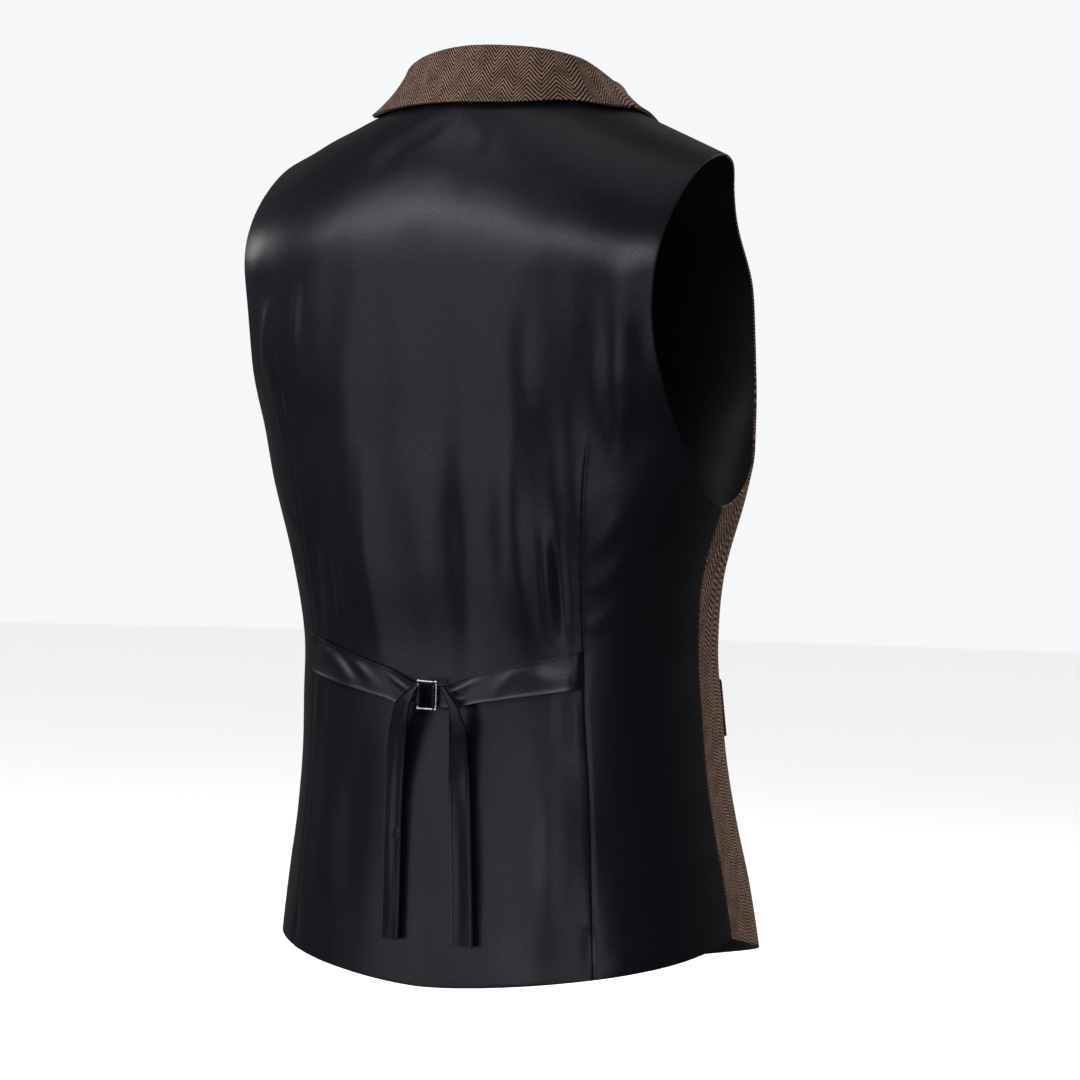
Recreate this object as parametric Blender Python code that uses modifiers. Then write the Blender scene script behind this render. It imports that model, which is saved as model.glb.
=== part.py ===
"""A man's suit waistcoat, worn: satin back with a cinch strap, tweed fronts, collar and lapels.

The wearer faces -Y and +Z is up, so the wearer's left is +X. The origin is midway between the
two points where the neckline meets the shoulder seams. Lengths in this file are millimetres,
and MM turns them into Blender's metres.

The cloth hangs on a smooth general figure, given by a table of level sections. A point on the
figure has an angle, counted round from the middle of the back (0) over the side (90) to the
middle of the front (180), and a level, counted down from the shoulder ridge. Each panel is a
patch between four edges drawn on that figure, with a wall of its own thickness.
"""

import math
from bisect import bisect_right
from collections import namedtuple

import bmesh
import bpy
from mathutils import Vector

MM = 0.001

# ---- the figure ------------------------------------------------------------------------------

CAP = 120.0            # height over which the shoulders round off
SHOULDER_SLOPE = 0.43  # drop for each millimetre outwards
NECK_HALF = 75.0       # from the middle to the neck end of a shoulder seam
NECK_ROUND = 30.0      # rounds the two slopes into each other behind the neck
SLOPE_REACH = 150.0    # below this depth the sections are level

Section = namedtuple("Section", "depth half_width centre back front back_square front_square")
SECTIONS = (
    Section(0, 205, 0, 112, 62, 2.8, 2.6),
    Section(60, 205, 0, 112, 74, 2.8, 2.6),
    Section(120, 200, 0, 112, 93, 2.8, 2.6),
    Section(180, 188, 0, 110, 110, 2.7, 2.5),
    Section(220, 178, 0, 107, 117, 2.5, 2.4),
    Section(262, 168, 1, 105, 119, 2.4, 2.4),
    Section(314, 152, -2, 103, 114, 2.4, 2.4),
    Section(364, 146, -10, 103, 106, 2.4, 2.4),
    Section(405, 147, -15, 107, 108, 2.4, 2.4),
    Section(446, 149, -20, 111, 113, 2.4, 2.4),
    Section(486, 154, -25, 116, 119, 2.4, 2.4),
    Section(527, 161, -30, 122, 126, 2.4, 2.4),
    Section(586, 169, -35, 129, 133, 2.4, 2.4),
    Section(640, 175, -40, 134, 137, 2.4, 2.4),
)

# ---- the edges of the panels -----------------------------------------------------------------

SEAM_GAP = 0.3
EDGE_STEPS = 80           # an edge is measured in this many steps
SLOPE_ROUNDS = 12         # a depth is corrected for the shoulders' slope this often
TIP_HALF = 164.5          # from the middle to the sleeve end of a shoulder seam
NECK_BACK = 62.0          # from the shoulder ridge back to the neckline's middle
SIDE_ANGLE = 91.5         # where the side seams run
HEM_BACK = 590.0          # depth of the hem at the middle of the back
HEM_SIDE = 556.0
HEM_POINT = 594.0         # depth of the two points at the front
HEM_BACK_CURVE = 1.6      # above 1 the hem leaves the middle level, below 1 it falls at once
HEM_FRONT_CURVE = 0.9
POINT_HALF = 50.0
LAP_HALF = 15.0           # each front passes the middle by this much
LAPEL_BREAK = 235.0       # depth where the lapels end and the front edges start
CUT_AWAY = 542.0          # depth where the front edges turn to the points
LAP_STEP = 3.7            # the wearer's left front lies on the right one
LAP_FADE = (20.0, 46.0)   # and comes down beside it over this width

SIDE_PART = 0.5           # share of a panel's rows that lie beside the armhole
NECK_PART = 0.5           # share of the back's columns that end at the neckline
ROLL_PART = 11 / 24       # share of a front's rows that lie beside the lapel
HEM_PART = 11 / 16        # share of its columns that lie outside the hem's point

Armhole = namedtuple("Armhole", "depth back front")
ARMHOLE = (
    Armhole(30, 62.6, 109.5),
    Armhole(76, 62.3, 114.0),
    Armhole(126, 62.0, 117.0),
    Armhole(157, 63.0, 118.3),
    Armhole(189, 66.3, 118.0),
    Armhole(220, 71.8, 114.5),
    Armhole(242, 77.5, 108.5),
    Armhole(258, 83.0, 101.5),
    Armhole(266, 88.0, 95.5),
    Armhole(268, 91.5, 91.5),
)

# Soft folds of the back. x runs towards the wearer's left, depths run down, a positive height
# stands out and a negative one is a trough. The lean is how far x moves for each millimetre down.
Fold = namedtuple("Fold", "x lean top bottom width height")
BACK_FOLDS = (
    Fold(-44, 0.00, 190, 395, 13, -2.4),
    Fold(-12, 0.02, 190, 390, 16, 2.2),
    Fold(56, 0.04, 225, 385, 16, 2.2),
    Fold(88, 0.04, 250, 380, 12, -1.6),
    Fold(-66, 0.00, 200, 385, 12, 2.4),
    Fold(-96, -0.03, 240, 382, 10, -2.6),
    Fold(136, -0.10, 130, 235, 9, 2.5),
    Fold(-138, 0.03, 95, 265, 10, 2.2),
    Fold(26, 0.00, 400, 560, 24, 2.0),
    Fold(-66, 0.03, 395, 560, 20, 2.0),
)
FRONT_FOLDS = (
    Fold(96, 0.10, 250, 380, 16, 2.0),
    Fold(-96, -0.10, 250, 380, 16, 2.0),
    Fold(60, 0.20, 300, 400, 12, -1.5),
    Fold(-60, -0.20, 300, 400, 12, -1.5),
)
DART_TOP = 214.0
Dart = namedtuple("Dart", "depth x")
DART = (
    Dart(214, 118),
    Dart(300, 110),
    Dart(375, 107),
    Dart(470, 112),
    Dart(580, 120),
)
DART_WIDTH = 3.5
DART_DEPTH = 1.2

# ---- cloth -----------------------------------------------------------------------------------

BACK_WALL = 1.6
FRONT_WALL = 2.5
COLLAR_WALL = 2.4
STRAP_WALL = 1.2
LIE = 0.9                  # what lies on a panel keeps this far off it
COLLAR_LIE = 2.2           # the collar's leaf stands off a little more
RIGHT_IN = 7.0             # the worn collar's right half lies this much nearer the neck
RIGHT_IN_RUNS = (0.4, 0.6, 0.75, 1.0)

GORGE_DEPTH = 62.0             # where collar and lapel meet at the roll
LAPEL_TIP = (121.0, 99.0)      # x and depth
RIGHT_LAPEL_END = 188.0        # the right lapel runs in under the left front here
LAPEL_BELLY = 9.0
LAPEL_FOOT = 7.0
LAPEL_START = 1.5              # gap from the collar down to the lapel
LAPEL_IN = 1.0                 # a lapel starts this far outside the front's edge
LAPEL_STOP = 4.0               # and ends this far above the first crossing of the fronts

FLAP_TOP_SIDE = (129.0, 385.0)
FLAP_TOP_FRONT = (50.0, 398.0)
FLAP_HEIGHT = 41.0
FLAP_LIFT = 0.6            # a flap's free edge stands off a little
FLAP_LIE = 0.8
FLAP_WALL = 1.7

BUTTONS = 5
BUTTON_FIRST = 246.0
BUTTON_STEP = 68.5
BUTTON_RADIUS = 7.5
BUTTON_HEIGHT = 3.2
BUTTON_SHANK = 1.2
BUTTON_SIDES = 20
Turned = namedtuple("Turned", "radius height")
BUTTON_PROFILE = (             # shares of the radius and height, from the sunk middle round the rim
    Turned(0.00, 0.62),
    Turned(0.66, 0.62),
    Turned(0.76, 0.95),
    Turned(0.90, 1.00),
    Turned(1.00, 0.70),
    Turned(0.97, 0.30),
    Turned(0.60, 0.00),
    Turned(0.00, 0.00),
)

# ---- cinch strap and buckle ------------------------------------------------------------------

STRAP_WIDTH = 25.0
STRAP_END = (106.0, 375.0)     # x and depth where a band is sewn into its dart
BUCKLE = (-6.5, 396.5)         # x and depth of the buckle's middle
BUCKLE_OUT = 8.0               # from the back's face to the buckle's middle plane
BUCKLE_HALF_WIDTH = 7.0
BUCKLE_HALF_HEIGHT = 9.0
SIDE_WIRE = 0.95
END_BAR = 1.15
END_KNOB = 1.5
Wire = namedtuple("Wire", "across up radius")
BUCKLE_HALF = (                # shares of the half width and half height, down the +X half
    Wire(0.00, 1.00, END_BAR),
    Wire(0.55, 1.00, END_BAR),
    Wire(0.90, 1.00, END_KNOB),
    Wire(1.00, 0.94, END_KNOB),
    Wire(1.00, 0.74, SIDE_WIRE),
    Wire(1.00, 0.00, SIDE_WIRE),
    Wire(1.00, -0.74, SIDE_WIRE),
    Wire(1.00, -0.94, END_KNOB),
    Wire(0.90, -1.00, END_KNOB),
    Wire(0.55, -1.00, END_BAR),
)
GATHERED = 13.6                # height of a band where it goes round the buckle
LOOP_PART = 0.8                # share of a band's columns up to the buckle
NARROWED = 17.5                # a band narrows evenly towards this
GATHER_FROM = 0.80             # and from here on it is gathered
RISE_FROM = 0.72               # and from here it leaves the back for the buckle
BAND_PUFF = 1.2                # how far the band stands off the back between its ends
PUFF_PART = 1 / 3              # share of the band over which it rises to that
TAIL_FOOT = 560.0

Tail = namedtuple("Tail", "depth x out width turn")
LEFT_TAIL = (
    Tail(391, -0.6, 12.8, 3.4, 0),
    Tail(395, 2.8, 13.4, 6.3, -4),
    Tail(400, 7.2, 13.6, 12.0, -12),
    Tail(405, 9.6, 13.0, 14.3, -13),
    Tail(414, 12.1, 11.4, 15.6, -14),
    Tail(426, 15.4, 8.5, 17.0, -14),
    Tail(455, 18.9, 5.0, 17.6, -14),
    Tail(500, 19.7, 4.2, 17.6, -14),
    Tail(560, 20.1, 3.8, 17.6, -14),
)
RIGHT_TAIL = (
    Tail(390, -20.5, 12.8, 3.0, 0),
    Tail(396, -25.0, 13.4, 4.4, -1),
    Tail(403, -29.0, 13.4, 6.8, -2),
    Tail(410, -30.4, 12.6, 10.0, -3),
    Tail(416, -31.4, 11.4, 12.8, -4),
    Tail(432, -30.4, 7.5, 14.4, -4),
    Tail(455, -30.2, 4.6, 17.6, -4),
    Tail(500, -31.7, 3.6, 18.0, -4),
    Tail(560, -35.8, 3.4, 18.6, -4),
)


# ---- curves through tables -------------------------------------------------------------------

def smooth(rows, column, at):
    """A smooth curve through one column of a table, read at a value of its first column."""
    keys = [row[0] for row in rows]
    values = [getattr(row, column) for row in rows]
    if at <= keys[0]:
        return values[0]
    if at >= keys[-1]:
        return values[-1]
    i = bisect_right(keys, at) - 1

    def slope(k):
        a, b = max(k - 1, 0), min(k + 1, len(keys) - 1)
        return (values[b] - values[a]) / (keys[b] - keys[a])

    step = keys[i + 1] - keys[i]
    t = (at - keys[i]) / step
    return ((1 + 2 * t) * (1 - t) ** 2 * values[i] + t * (1 - t) ** 2 * step * slope(i)
            + t * t * (3 - 2 * t) * values[i + 1] + t * t * (t - 1) * step * slope(i + 1))


def ease(t):
    """0 to 1 with level ends."""
    t = min(max(t, 0.0), 1.0)
    return t * t * (3 - 2 * t)


def blend(a, b, t):
    return a + (b - a) * t


# ---- the figure's surface --------------------------------------------------------------------

def level_of(depth):
    """The level of a depth below the ridge, before the shoulders' slope."""
    if depth < CAP:
        return math.acos(1 - depth / CAP) * 2 / math.pi
    return 1 + (depth - CAP) / (CAP * math.pi / 2)


def depth_of(level):
    turn = min(level, 1.0) * math.pi / 2
    return CAP * (1 - math.cos(turn)) + max(level - 1.0, 0.0) * CAP * math.pi / 2


def fullness(level):
    """How far the section has opened out from the ridge, 0 to 1."""
    return math.sin(min(level, 1.0) * math.pi / 2)


def shoulder_drop(x, depth):
    """How far the shoulders' slope lowers a point."""
    rise = math.hypot(x, NECK_ROUND) - math.hypot(NECK_HALF, NECK_ROUND)
    return SHOULDER_SLOPE * rise * (1 - ease(depth / SLOPE_REACH))


def reach(depth, front):
    """Half width, centre, depth to the front or back, and squareness of a section."""
    columns = ("front", "front_square") if front else ("back", "back_square")
    return [smooth(SECTIONS, name, depth) for name in ("half_width", "centre") + columns]


def figure(angle, level):
    """The point of the figure at an angle in degrees and a level."""
    depth = depth_of(level)
    turn = math.radians(angle)
    across, along = math.sin(turn), math.cos(turn)
    width, centre, far, square = reach(depth, along < 0)
    radius = (abs(across / width) ** square + abs(along / far) ** square) ** (-1 / square)
    x = radius * across
    y = centre + fullness(level) * radius * along
    return Vector((x, y, -depth - shoulder_drop(x, depth)))


def angle_at(x, depth, front):
    """The angle at which a section is x from the middle."""
    width, _, far, square = reach(depth, front)
    side = far * (1 - min(abs(x) / width, 1.0) ** square) ** (1 / square)
    turn = math.degrees(math.atan2(abs(x), side))
    turn = 180 - turn if front else turn
    if x >= 0:
        return turn
    return 360 - turn if front else -turn


def spot(x, drop, front):
    """Angle and level of the point that is x from the middle and so far below the origin."""
    depth = drop
    for _ in range(SLOPE_ROUNDS):
        depth = max(drop - shoulder_drop(x, depth), 0.0)
    return angle_at(x, depth, front), level_of(depth)


def fold_height(folds, x, drop):
    """How far the folds lift the cloth at x and a depth below the origin."""
    total = 0.0
    for fold in folds:
        middle = fold.x + fold.lean * (drop - fold.top)
        length = fold.bottom - fold.top
        along = (drop - fold.top) / length
        if 0 < along < 1:
            total += fold.height * math.sin(math.pi * along) ** 2 * math.exp(
                -((x - middle) / fold.width) ** 2)
    return total


def dart_groove(x, drop):
    """The darts' seams sit a little in the cloth."""
    if drop < DART_TOP:
        return 0.0
    line = smooth(DART, "x", drop)
    depth = DART_DEPTH * ease((drop - DART_TOP) / 40)
    return -depth * math.exp(-((abs(x) - line) / DART_WIDTH) ** 2)


TINY = 1e-3            # a step of a parameter or level
TINY_TURN = 0.05       # and of an angle, in degrees


def facing(surface, u, v):
    """The outward direction of a surface given by two parameters."""
    du = surface(min(u + TINY, 1.0), v) - surface(max(u - TINY, 0.0), v)
    dv = surface(u, min(v + TINY, 1.0)) - surface(u, max(v - TINY, 0.0))
    return du.cross(dv).normalized()


def figure_facing(angle, level):
    around = figure(angle + TINY_TURN, level) - figure(angle - TINY_TURN, level)
    down = figure(angle, level + TINY) - figure(angle, level - TINY)
    return around.cross(down).normalized()


def on_back(angle, level, out):
    """A point on the back's outer face, moved out."""
    point = figure(angle, level)
    lift = fold_height(BACK_FOLDS, point.x, -point.z) + dart_groove(point.x, -point.z)
    return point + figure_facing(angle, level) * (out + lift)


def on_front(angle, level, out, left):
    """A point on a front's outer face, moved out; the left front steps over the right one."""
    point = figure(angle, level)
    lift = fold_height(FRONT_FOLDS, point.x, -point.z)
    if left:
        start, end = LAP_FADE
        lift += LAP_STEP * ease((end - point.x) / (end - start))
    return point + figure_facing(angle, level) * (out + lift)


# ---- patches between edges -------------------------------------------------------------------

def evenly(edge, samples=EDGE_STEPS):
    """The same edge, a function of 0 to 1 giving angle and level, with even steps in length."""
    spots = [edge(i / samples) for i in range(samples + 1)]
    places = [figure(*item) for item in spots]
    run = [0.0]
    for a, b in zip(places, places[1:]):
        run.append(run[-1] + (b - a).length)

    def even(t):
        goal = t * run[-1]
        i = min(max(bisect_right(run, goal) - 1, 0), samples - 1)
        part = (goal - run[i]) / (run[i + 1] - run[i])
        return tuple(blend(a, b, part) for a, b in zip(spots[i], spots[i + 1]))

    return even


def joined(first, second, corner):
    """Two edges end to end, with the corner at a given parameter."""
    first, second = evenly(first), evenly(second)
    return lambda t: first(t / corner) if t <= corner else second((t - corner) / (1 - corner))


def patch(start, end, top, bottom):
    """Angle and level inside four edges: start and end at u = 0 and 1, top and bottom at v."""
    corners = start(0), end(0), start(1), end(1)

    def inside(u, v):
        a, b, c, d = start(v), end(v), top(u), bottom(u)
        return tuple(
            (1 - u) * a[k] + u * b[k] + (1 - v) * c[k] + v * d[k]
            - (1 - v) * ((1 - u) * corners[0][k] + u * corners[1][k])
            - v * ((1 - u) * corners[2][k] + u * corners[3][k])
            for k in (0, 1))

    return inside


def shoulder_tip():
    return Armhole(0, angle_at(TIP_HALF, 0, False), angle_at(TIP_HALF, 0, True))


def armhole(column):
    """The armhole's edge from the shoulder to under the arm."""
    rows = (shoulder_tip(),) + ARMHOLE

    def edge(t):
        depth = rows[-1].depth * math.sin(t * math.pi / 2)
        return smooth(rows, column, depth), level_of(depth)

    return edge


def hem_depth(angle):
    """The back's hem rises from the middle to the side seams."""
    return blend(HEM_BACK, HEM_SIDE, (abs(angle) / SIDE_ANGLE) ** HEM_BACK_CURVE)


def back_patch():
    """Half of the back: u from the middle to the armhole and side seam, v from top to hem."""
    tip = shoulder_tip().back

    def neckline(t):
        turn = t * math.pi / 2
        x = NECK_HALF * math.sin(turn)
        angle = angle_at(x, 0, False)
        full = figure(angle, 1.0).y
        return angle, math.asin(NECK_BACK * math.cos(turn) / full) * 2 / math.pi

    def shoulder(t):
        return blend(angle_at(NECK_HALF, 0, False), tip, t), 0.0

    top = joined(neckline, shoulder, NECK_PART)
    middle = evenly(lambda t: (0.0, blend(neckline(0)[1], level_of(HEM_BACK), t)))
    side = joined(
        armhole("back"),
        lambda t: (SIDE_ANGLE, blend(level_of(ARMHOLE[-1].depth), level_of(HEM_SIDE), t)),
        SIDE_PART)
    hem = evenly(lambda t: (SIDE_ANGLE * t, level_of(hem_depth(SIDE_ANGLE * t))))
    return patch(middle, side, top, hem)


def roll_x(drop):
    """How far the roll of a lapel is from the middle, negative past it."""
    return blend(NECK_HALF, -LAP_HALF, min(drop / LAPEL_BREAK, 1.0))


def front_patch():
    """The wearer's left front: u from the side to the front edge, v from the shoulder down."""
    tip = shoulder_tip().front
    neck = angle_at(NECK_HALF, 0, True)

    point = spot(POINT_HALF, HEM_POINT, True)[0]

    def front_hem(t):
        depth = blend(HEM_SIDE, HEM_POINT, t ** HEM_FRONT_CURVE)
        return blend(SIDE_ANGLE, point, t), level_of(depth)

    def cut_away(t):
        return spot(blend(POINT_HALF, -LAP_HALF, t), blend(HEM_POINT, CUT_AWAY, t), True)

    def roll(t):
        drop = LAPEL_BREAK * t
        return spot(roll_x(drop), drop, True)

    def opening(t):
        return spot(-LAP_HALF, blend(LAPEL_BREAK, CUT_AWAY, t), True)

    side = joined(
        armhole("front"),
        lambda t: (SIDE_ANGLE, blend(level_of(ARMHOLE[-1].depth), level_of(HEM_SIDE), t)),
        SIDE_PART)
    shoulder = evenly(lambda t: (blend(tip, neck, t), 0.0))
    return patch(side, joined(roll, opening, ROLL_PART), shoulder,
                 joined(front_hem, cut_away, HEM_PART))


# ---- Blender helpers -------------------------------------------------------------------------

def material(name, colour, roughness, metallic=0.0):
    shader = bpy.data.materials.new(name)
    shader.use_nodes = True
    principled = shader.node_tree.nodes["Principled BSDF"]
    principled.inputs["Base Color"].default_value = (*colour, 1.0)
    principled.inputs["Roughness"].default_value = roughness
    principled.inputs["Metallic"].default_value = metallic
    shader.diffuse_color = (*colour, 1.0)
    return shader


def finish(mesh, name, finish_material, smooth_angle=40):
    """Puts a mesh into the garment's collection as its own object."""
    mesh.materials.append(finish_material)
    mesh.shade_smooth()
    mesh.set_sharp_from_angle(angle=math.radians(smooth_angle))
    piece = bpy.data.objects.new(name, mesh)
    garment.objects.link(piece)
    return piece


def cloth(name, place, columns, rows, wall, look):
    """A piece of cloth: a grid laid on place(u, v, out), extruded inwards by its wall."""
    work = bmesh.new()
    bmesh.ops.create_grid(work, x_segments=columns, y_segments=rows, size=0.5)
    across = work.verts.layers.float.new("across")
    down = work.verts.layers.float.new("down")
    for vert in work.verts:
        vert[across] = round((vert.co.x + 0.5) * columns) / columns
        vert[down] = round((0.5 - vert.co.y) * rows) / rows
    outer = set(work.verts)
    bmesh.ops.extrude_face_region(work, geom=work.faces[:], use_keep_orig=True)
    for vert in work.verts:
        out = 0.0 if vert in outer else -wall
        vert.co = place(vert[across], vert[down], out) * MM
    bmesh.ops.recalc_face_normals(work, faces=work.faces[:])
    mesh = bpy.data.meshes.new(name)
    work.to_mesh(mesh)
    work.free()
    return finish(mesh, name, look)


# ---- panels ----------------------------------------------------------------------------------

BACK_COLUMNS = 26
FRONT_COLUMNS = 16
PANEL_ROWS = 24
LAPEL_COLUMNS, LAPEL_ROWS = 12, 5
FLAP_COLUMNS, FLAP_ROWS = 10, 3
BAND_COLUMNS, BAND_ROWS = 24, 3
TAIL_COLUMNS, TAIL_ROWS = 2, 16


def mirrored(point, side):
    return Vector((point.x * side, point.y, point.z))


def make_back():
    """The satin back, in one piece from armhole to armhole."""
    half = back_patch()

    def place(u, v, out):
        side = 1 if u >= 0.5 else -1
        across = abs(2 * u - 1)
        angle, level = half(across, v)
        point = on_back(angle * side, level, out)
        on_side_seam = across == 1 and v >= SIDE_PART
        on_shoulder_seam = across >= NECK_PART and v == 0
        if on_side_seam or on_shoulder_seam:
            point.y += SEAM_GAP / 2
        return point

    return cloth("back", place, BACK_COLUMNS, PANEL_ROWS, BACK_WALL, satin)


def front_place(left):
    """The place function of a front; the right one is the left one mirrored, without the step."""
    inside = front_patch()
    side = 1 if left else -1

    def place(u, v, out):
        angle, level = inside(u, v)
        point = on_front(angle, level, out, left)
        on_side_seam = u == 0 and v >= SIDE_PART
        on_shoulder_seam = v == 0
        if on_side_seam or on_shoulder_seam:
            point.y -= SEAM_GAP / 2
        return mirrored(point, side)

    return place


def make_fronts():
    for name, left in (("front_left", True), ("front_right", False)):
        cloth(name, front_place(left), FRONT_COLUMNS, PANEL_ROWS, FRONT_WALL, tweed)


def laid_on_front(x, drop, out, left):
    """A point at x and a depth on the wearer's left front, or its mirror on the right one."""
    angle, level = spot(x, drop, True)
    point = on_front(angle, level, out, left)
    return mirrored(point, 1 if left else -1)


def laid_on_back(x, drop, out):
    angle, level = spot(x, drop, False)
    return on_back(angle, level, out)


# ---- collar and lapels -----------------------------------------------------------------------

# The collar stands up a little more at the wearer's right than at the left.
Collar = namedtuple("Collar", "run left right edge_x edge_drop")
COLLAR = (
    Collar(0.00, 27.8, 27.8, 0.0, 7.5),
    Collar(0.15, 26.0, 29.0, 26.0, 8.0),
    Collar(0.24, 24.0, 29.0, 41.0, 8.6),
    Collar(0.32, 21.2, 27.9, 56.0, 9.4),
    Collar(0.40, 18.0, 25.6, 72.0, 10.7),
    Collar(0.48, 15.0, 22.2, 86.0, 12.0),
    Collar(0.56, 12.4, 16.6, 96.0, 12.6),
    Collar(0.62, 10.6, 12.4, 100.5, 11.9),
    Collar(0.68, 9.0, 9.2, 102.5, 11.2),
    Collar(0.82, 5.2, 5.2, 108.0, 29.0),
    Collar(1.00, 2.5, 2.5, 117.0, 66.0),
)
RIDGE_RUN = 0.68          # the collar crosses the shoulder seam here
FOLD_RADIUS = 2.4
STAND_PART = 0.3          # share of the collar's rows in its stand
FOLD_PART = 0.5           # and up to the end of its fold
FOOT_IN = 2.2             # the stand's foot is inside the neckline's edge by this much
FOOT_UP = 0.6
LEAF_BEND = 0.4           # where between fold and edge the leaf bends
LEAF_DROP = 0.12          # and how far it falls in there, for each millimetre of stand
NOTCH_PART = 0.6          # where between fold and edge the collar's end meets the lapel's notch
NOTCH_DROP = 18.0         # and how far it comes down there to meet it
NOTCH_RUN = 0.8           # from this run on
COLLAR_COLUMNS = 26
COLLAR_ROWS = 10


def neck_edge(run):
    """The neckline's edge, from the middle of the back over the shoulder and down the front."""
    if run < RIDGE_RUN:
        turn = run / RIDGE_RUN * math.pi / 2
        x, y = NECK_HALF * math.sin(turn), NECK_BACK * math.cos(turn)
        angle = angle_at(x, 0, False)
        level = math.asin(y / figure(angle, 1.0).y) * 2 / math.pi
        return figure(angle, level)
    drop = GORGE_DEPTH * ((run - RIDGE_RUN) / (1 - RIDGE_RUN))
    return figure(*spot(roll_x(drop), drop, True))


def collar_edge(run, side):
    """The collar's free edge, lying on the back, over the shoulder seam and on the front."""
    out = COLLAR_LIE + COLLAR_WALL / 2
    x, drop = smooth(COLLAR, "edge_x", run), smooth(COLLAR, "edge_drop", run)
    if side == "right":
        first, full, last, end = RIGHT_IN_RUNS
        nearer = RIGHT_IN * ease((run - first) / (full - first)) * ease((end - run) / (end - last))
        x, drop = x - nearer, drop - SHOULDER_SLOPE * nearer
    front = run > RIDGE_RUN
    angle, level = spot(x, drop, front)
    return figure(angle, level) + figure_facing(angle, level) * out


def notch_shift(leaf, run, t):
    """The collar's end comes down along the front to the lapel's top edge, then up to its corner."""
    tent = min(t / NOTCH_PART, (1 - t) / (1 - NOTCH_PART))
    down = NOTCH_DROP * tent * ease((run - NOTCH_RUN) / (1 - NOTCH_RUN))
    if down <= 0:
        return Vector()
    drop = -leaf.z
    return figure(*spot(leaf.x, drop + down, True)) - figure(*spot(leaf.x, drop, True))


def collar_middle(run, across, side):
    """The middle of the collar's wall; across runs from the neck seam over the fold to the edge."""
    seam = neck_edge(run)
    inward = Vector((-seam.x, -seam.y, 0)).normalized()
    stand = smooth(COLLAR, side, run)
    up = Vector((0, 0, 1))
    foot = seam + inward * FOOT_IN + up * FOOT_UP
    top = foot + up * stand
    if across < STAND_PART:
        return blend(foot, top, across / STAND_PART)
    if across < FOLD_PART:
        turn = (across - STAND_PART) / (FOLD_PART - STAND_PART) * math.pi
        centre = top - inward * FOLD_RADIUS
        return centre + (inward * math.cos(turn) + up * math.sin(turn)) * FOLD_RADIUS
    t = (across - FOLD_PART) / (1 - FOLD_PART)
    outer = top - inward * 2 * FOLD_RADIUS
    edge = collar_edge(run, side)
    bend = blend(outer, edge, LEAF_BEND) - up * LEAF_DROP * stand
    leaf = outer * (1 - t) ** 2 + bend * 2 * t * (1 - t) + edge * t * t
    return leaf + notch_shift(leaf, run, t)


def make_collar():
    """The collar in one piece: it stands round the neck, folds over and lies on the shoulders."""
    def middle(u, v):
        run = abs(2 * u - 1)
        side = "left" if u >= 0.5 else "right"
        return mirrored(collar_middle(run, v, side), 1 if u >= 0.5 else -1)

    def place(u, v, out):
        return middle(u, v) + facing(middle, u, v) * (out + COLLAR_WALL / 2)

    return cloth("collar", place, COLLAR_COLUMNS, COLLAR_ROWS, COLLAR_WALL, tweed)


def lapel_place(left):
    """A lapel lies on its front from the roll to its free edge; u down, v outwards."""
    end = LAPEL_BREAK - LAPEL_STOP if left else RIGHT_LAPEL_END

    def place(u, v, out):
        drop = blend(GORGE_DEPTH + LAPEL_START, end, u)
        roll = roll_x(drop) + LAPEL_IN
        tip_x, tip_drop = LAPEL_TIP
        foot_x = roll_x(end) + LAPEL_FOOT
        edge_x = blend(tip_x, foot_x, u) + LAPEL_BELLY * math.sin(math.pi * u)
        edge_drop = blend(tip_drop, end, u)
        x = blend(roll, edge_x, v)
        depth = blend(drop, edge_drop, v)
        return laid_on_front(x, depth, LIE + FRONT_WALL + out, left)

    return place


def make_lapels():
    for name, left in (("lapel_left", True), ("lapel_right", False)):
        cloth(name, lapel_place(left), LAPEL_COLUMNS, LAPEL_ROWS, FRONT_WALL, tweed)


# ---- pocket flaps and buttons ----------------------------------------------------------------

def make_flaps():
    """The flaps of the two lower pockets, parallel to the hem."""
    def flap_place(left):
        def place(u, v, out):
            near, far = (spot(x, drop + FLAP_HEIGHT * v, True)
                         for x, drop in (FLAP_TOP_SIDE, FLAP_TOP_FRONT))
            angle, level = (blend(a, b, u) for a, b in zip(near, far))
            point = on_front(angle, level, FLAP_LIE + FLAP_WALL + out + FLAP_LIFT * v, left)
            return mirrored(point, 1 if left else -1)
        return place

    for name, left in (("flap_left", True), ("flap_right", False)):
        cloth(name, flap_place(left), FLAP_COLUMNS, FLAP_ROWS, FLAP_WALL, tweed)


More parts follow.
